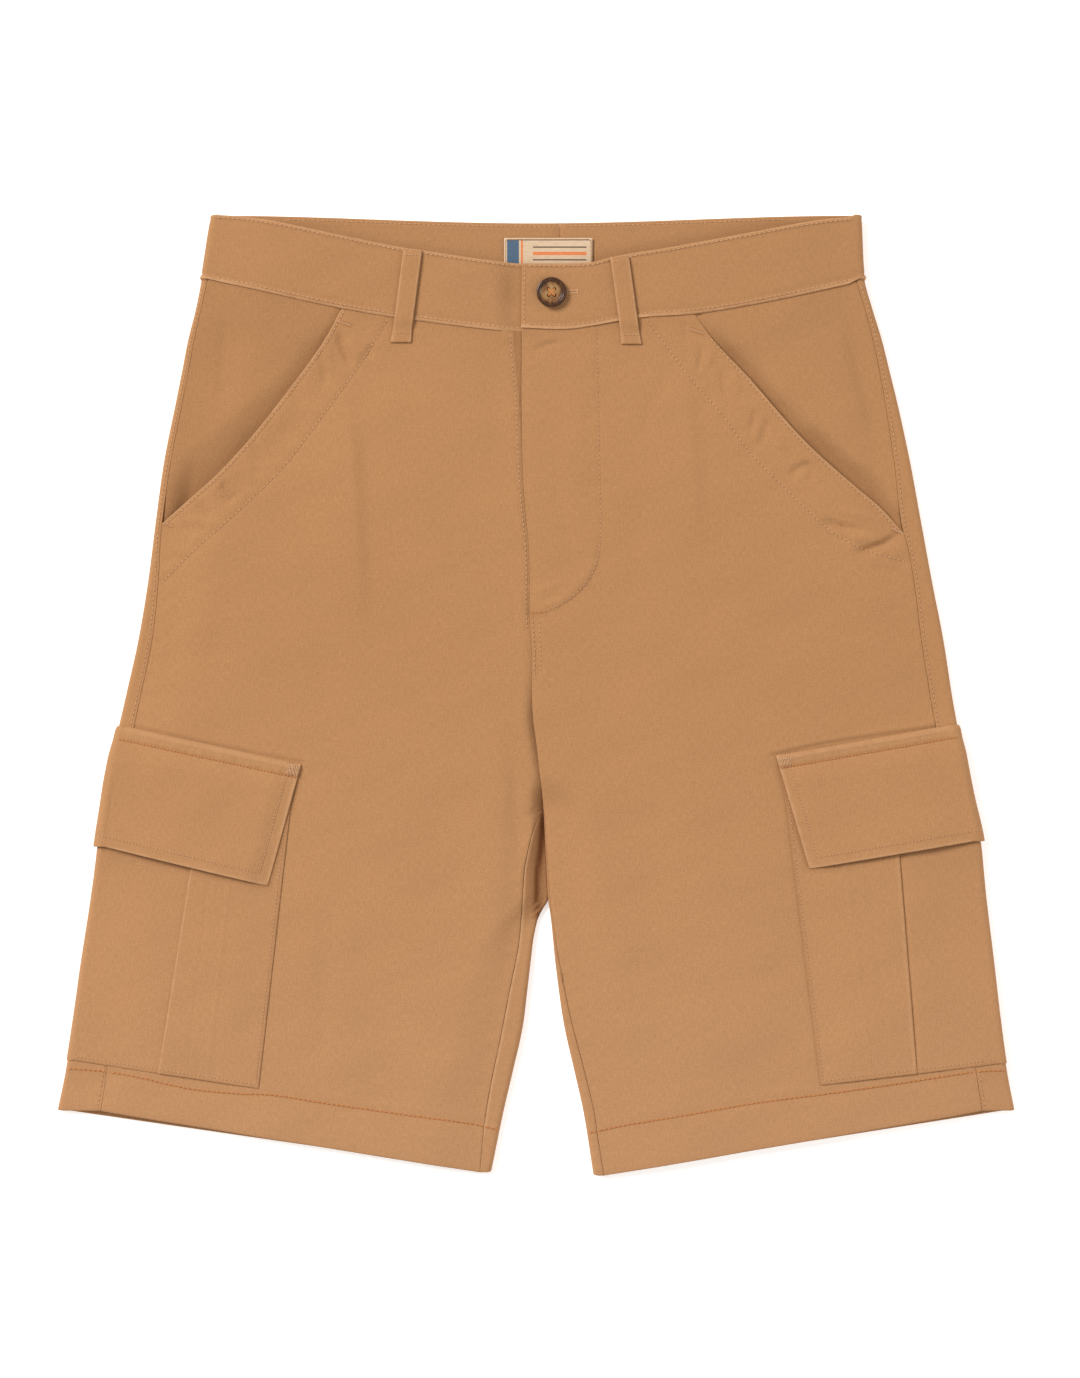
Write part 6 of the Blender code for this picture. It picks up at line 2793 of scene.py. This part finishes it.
@dataclass(frozen=True)
class WaistButton:
    """The dished button with its four holes, its thread and the end of its buttonhole."""

    centre: Point = (9.3, 241.3)
    radius: float = 8.9
    thickness: float = 3.3
    dish: float = 1.1
    hole: float = 1.05
    spacing: float = 3.7
    hole_y: float = 241.9

    def body(self, base: float) -> Piece:
        """The button, shaped from a disc.

        Args:
            base: The height of its underside, in millimetres.

        Returns:
            The finished button.
        """
        x, y = self.centre
        deselect()
        bpy.ops.mesh.primitive_cylinder_add(
            vertices=72,
            radius=self.radius * MM,
            depth=self.thickness * 0.62 * MM,
            location=(x * MM, y * MM, (base + self.thickness * 0.69) * MM),
        )
        obj = bpy.context.object
        obj.name = obj.data.name = "button_horn"
        bpy.ops.object.transform_apply(location=True, rotation=False, scale=False)
        for up, steps in (
            (1, ((0.55, 0.34), (1.2, 0.0), (0.75, -0.75), (0.5, -0.35))),
            (-1, ((1.6, 0.75), (1.8, 0.45))),
        ):
            for polygon in obj.data.polygons:
                polygon.select = polygon.normal.z * up > 0.9
            bpy.ops.object.mode_set(mode="EDIT")
            for inset, rise in steps:
                bpy.ops.mesh.inset(thickness=inset * MM, depth=0.0)
                bpy.ops.transform.translate(value=(0, 0, up * rise * MM))
            bpy.ops.object.mode_set(mode="OBJECT")
            for polygon in obj.data.polygons:
                polygon.select = False
        round_off = obj.modifiers.new("round_off", "BEVEL")
        round_off.width = 0.28 * MM
        round_off.segments = 3
        round_off.limit_method = "ANGLE"
        round_off.angle_limit = math.radians(14)
        apply_modifiers(obj)
        cutters = []
        for across in (-0.5, 0.5):
            for along in (-0.5, 0.5):
                bpy.ops.mesh.primitive_cylinder_add(
                    vertices=20,
                    radius=self.hole * MM,
                    depth=4 * self.thickness * MM,
                    location=(
                        (x + across * self.spacing) * MM, (y + along * self.spacing) * MM, base * MM
                    ),
                )
                cutters.append(bpy.context.object)
                hole = obj.modifiers.new("thread_hole", "BOOLEAN")
                hole.operation = "DIFFERENCE"
                hole.solver = "EXACT"
                hole.object = cutters[-1]
        apply_modifiers(obj)
        for cutter in cutters:
            bpy.data.objects.remove(cutter, do_unlink=True)
        shade(obj, 35.0)
        return obj

    def threads(self, stitcher: Stitcher, top: float) -> Array:
        """The bars of thread between the holes.

        Args:
            stitcher: What lays them.
            top: The height of the dish, in millimetres.

        Returns:
            An array of (stitches, corners, 3) in millimetres.
        """
        centre = np.array([self.centre])
        bars = []
        for turn, rise in ((1.0, 0.0), (-1.0, 0.3)):
            reach = (0.5 * self.spacing + 0.2) * np.array([[1.0, turn]])
            for shift in (-0.3, 0.0, 0.3):
                aside = shift * np.array([[-0.7 * turn, 0.7]])
                line = np.concatenate([centre + aside - reach, centre + aside + reach])
                row = StitchRow(
                    Polyline(tuple(map(tuple, line)), False),
                    length=2.1 * self.spacing * 0.78,
                    thickness=0.6,
                )
                bars.append(stitcher.row(line, lambda px, py: top + rise + 0 * px, row))
        return np.concatenate(bars)

    def build(self, base: float, band: Piece, stitcher: Stitcher) -> None:
        """Makes the button, its thread and the buttonhole's end.

        Args:
            base: The height of the band under it, in millimetres.
            band: The left half of the waistband.
            stitcher: What lays the threads.
        """
        obj = dress(self.body(base + 0.15), stitcher.finishes.horn, "button_horn")
        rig.replaces(obj, "button")
        top = base + 0.15 + self.thickness - self.dish + 0.25
        thread = stitcher.joined("button_thread", self.threads(stitcher, top))
        dress(thread, stitcher.finishes.threads[Thread.RUST])
        y = self.hole_y
        edges = [((17.6, y + at), (24.8, y + at)) for at in (0.75, -0.75)]
        edges.append(((24.9, y - 1.4), (24.9, y + 1.4)))
        rows = [
            StitchRow(Polyline(edge, False), Thread.TONAL, 0.6, 1.3, 0.6, crosswise=True)
            for edge in edges
        ]
        stitcher.sew("buttonhole", rows, band)
        LOG.info("button: horn, thread and buttonhole")


@dataclass(frozen=True)
class WovenLabel:
    """A small woven label inside the back waistband, with a plain design of lines and a block."""

    xs: tuple[float, float] = (-19.2, 33.9)
    ys: tuple[float, float] = (249.0, 275.1)
    half: float = 0.4
    height: float = 5.3
    lines: tuple[tuple[float, float, Yarn], ...] = (
        (5.2, 6.0, Yarn.BROWN), (8.4, 10.6, Yarn.ORANGE), (13.0, 13.8, Yarn.BROWN),
    )

    def yarn_at(self, x: float, y: float) -> Yarn:
        """Which yarn shows at a place of the label.

        Args:
            x: The place across.
            y: The place along the garment.

        Returns:
            The yarn.
        """
        left, right = self.xs[1] - x, x - self.xs[0]
        top = self.ys[1] - y
        if 1.6 < right < 9.2 and top > 1.8:
            return Yarn.BLUE
        if 10.0 < right < 11.6 and top > 1.8:
            return Yarn.ORANGE
        if 1.2 < top < 1.8 and 1.2 < left and 1.2 < right:
            return Yarn.BROWN
        for above, below, yarn in self.lines:
            if 3.6 < left < 36.0 and above < top < below:
                return yarn
        return Yarn.GROUND

    def build(self, stitcher: Stitcher) -> None:
        """Makes the label.

        Args:
            stitcher: What sews its edge.
        """
        x = np.linspace(*self.xs, 90)[None]
        y = np.linspace(self.ys[1], self.ys[0], 66)[:, None]
        x, y = x + 0 * y, y + 0 * x
        z = self.height + 0.15 * np.sin(x / 7.0) * np.sin(y / 5.0) + 0 * x
        obj = folded_piece("label_cloth", Face(np.stack([x, y, z], axis=2), 1.0), self.half)
        ground, *others = stitcher.finishes.label
        dress(obj, ground, "label_weave")
        for finish in others:
            obj.data.materials.append(finish)
        for polygon in obj.data.polygons:
            centre = polygon.center
            polygon.material_index = self.yarn_at(centre.x / MM, centre.y / MM).value
        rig.replaces(obj, "label")
        left, right = self.xs[0] + 0.9, self.xs[1] - 0.9
        ring = Polyline(((left, 256.0), (left, 274.2), (right, 274.2), (right, 256.0)), False)
        row = StitchRow(ring, pitch=2.2, length=1.6, thickness=0.4)
        sewn = stitcher.sew("label", [row], obj)
        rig.sheet(
            obj,
            flat=(0.0531, 0.0261),
            held="laid",
            rests_on=["waistband_right_cloth"],
            with_pieces=sewn,
        )
        LOG.info("label: plain woven design")


@dataclass(frozen=True)
class Studio:
    """The pale floor, the soft light and the camera straight above."""

    centre: Point = (2.4, 3.9)
    view_height: float = 826.8
    lens: float = 85.0
    sensor: float = 36.0
    subject_z: float = 9.0

    def floor(self) -> None:
        """A wide pale floor under the garment."""
        deselect()
        bpy.ops.mesh.primitive_plane_add(size=8.0, location=(0, 0, -0.0002))
        floor = bpy.context.object
        floor.name = "floor"
        pale = NodeBoard("pale_floor").finish(
            Base_Color=(0.93, 0.93, 0.93, 1),
            Roughness=0.9,
            Specular_IOR_Level=0.1,
            Emission_Color=(1.0, 1.0, 1.0, 1),
            Emission_Strength=0.45,
        )
        floor.data.materials.append(pale)
        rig.stage(floor)

    def light(
        self, name: str, place: Place, size: float, power: float, colour: Colour = (1, 1, 1)
    ) -> None:
        """A soft square light that looks at the garment.

        Args:
            name: Its name.
            place: Where it hangs, in metres.
            size: Its side, in metres.
            power: Its power, in watts.
            colour: Its colour.
        """
        bpy.ops.object.light_add(type="AREA", location=place)
        lamp = bpy.context.object
        lamp.name = name
        lamp.data.size = size
        lamp.data.energy = power
        lamp.data.color = colour
        turned = Vector((0.0, 0.0, 0.0)) - Vector(place)
        lamp.rotation_euler = turned.to_track_quat("-Z", "Y").to_euler()

    def camera(self) -> None:
        """The camera, straight above, with the image's top towards the waist."""
        bpy.ops.object.camera_add()
        camera = bpy.context.object
        camera.name = "camera"
        camera.data.lens = self.lens
        camera.data.sensor_width = self.sensor
        away = self.view_height * self.lens / self.sensor + self.subject_z
        camera.location = (self.centre[0] * MM, self.centre[1] * MM, away * MM)
        camera.rotation_euler = (0.0, 0.0, 0.0)
        camera.data.clip_end = 20.0
        bpy.context.scene.camera = camera

    def build(self) -> None:
        """Sets the lights, the sky and the camera."""
        self.light("key", (-3.45, 2.6, 4.1), 2.2, 355.0, (1.0, 0.995, 0.985))
        self.light("fill", (2.6, -1.6, 3.4), 3.0, 40.0, (0.97, 0.985, 1.0))
        self.light("rim", (3.6, 0.4, 0.95), 1.6, 26.0)
        world = bpy.data.worlds.new("soft_sky")
        world.use_nodes = True
        sky = world.node_tree.nodes["Background"]
        sky.inputs["Color"].default_value = (1.0, 0.94, 0.87, 1.0)
        sky.inputs["Strength"].default_value = 0.45
        bpy.context.scene.world = world
        bpy.context.scene.view_settings.view_transform = "Standard"
        self.camera()
        LOG.info("studio: floor, three lights, sky and camera")


LOOPS = (
    BeltLoop("belt_loop_front_right", (-73.8, 266.6), (-81.0, 211.4), Side.RIGHT),
    BeltLoop("belt_loop_front_left", (50.0, 262.6), (57.2, 210.4), Side.LEFT),
    BeltLoop("belt_loop_back_right", (-112.0, 284.0), (-114.0, 229.6), Side.RIGHT, on_back=True),
    BeltLoop("belt_loop_back_centre", (14.0, 282.6), (13.6, 228.4), Side.LEFT, on_back=True),
    BeltLoop("belt_loop_back_left", (126.0, 284.0), (128.0, 229.6), Side.LEFT, on_back=True),
)


def main() -> None:
    """Builds the shorts piece by piece on the frame."""
    logging.basicConfig(level=logging.INFO, format="%(message)s")
    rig.load()
    cad_box = [[float(v) for v in row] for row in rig.bounds()]
    finishes = Finishes.make()
    stitcher = Stitcher(finishes)
    form = LaidForm()
    studio = Studio()
    studio.floor()
    for side in Side:
        plan = LegPlan(side, form)
        Back(plan).build(stitcher)
        PocketFacing(plan).build(stitcher)
        Front(plan).build(stitcher)
        Waistband(plan).build(stitcher)
        CargoPocket(plan).build(stitcher)
        CargoFlap(plan).build(stitcher)
    for loop in LOOPS:
        loop.build(form, stitcher)
    Fly(form).build(finishes)
    WovenLabel().build(stitcher)
    band = bpy.data.objects["waistband_left_cloth"]
    button = WaistButton()
    base = float(height_on(band)(np.array([button.centre[0]]), np.array([button.centre[1]]))[0])
    button.build(base, band, stitcher)
    studio.build()
    with open("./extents.json", "w", encoding="utf-8") as file:
        json.dump(
            {"cad": cad_box, "visual": [[float(v) for v in row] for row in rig.bounds()]}, file
        )


if __name__ == "__main__":
    main()
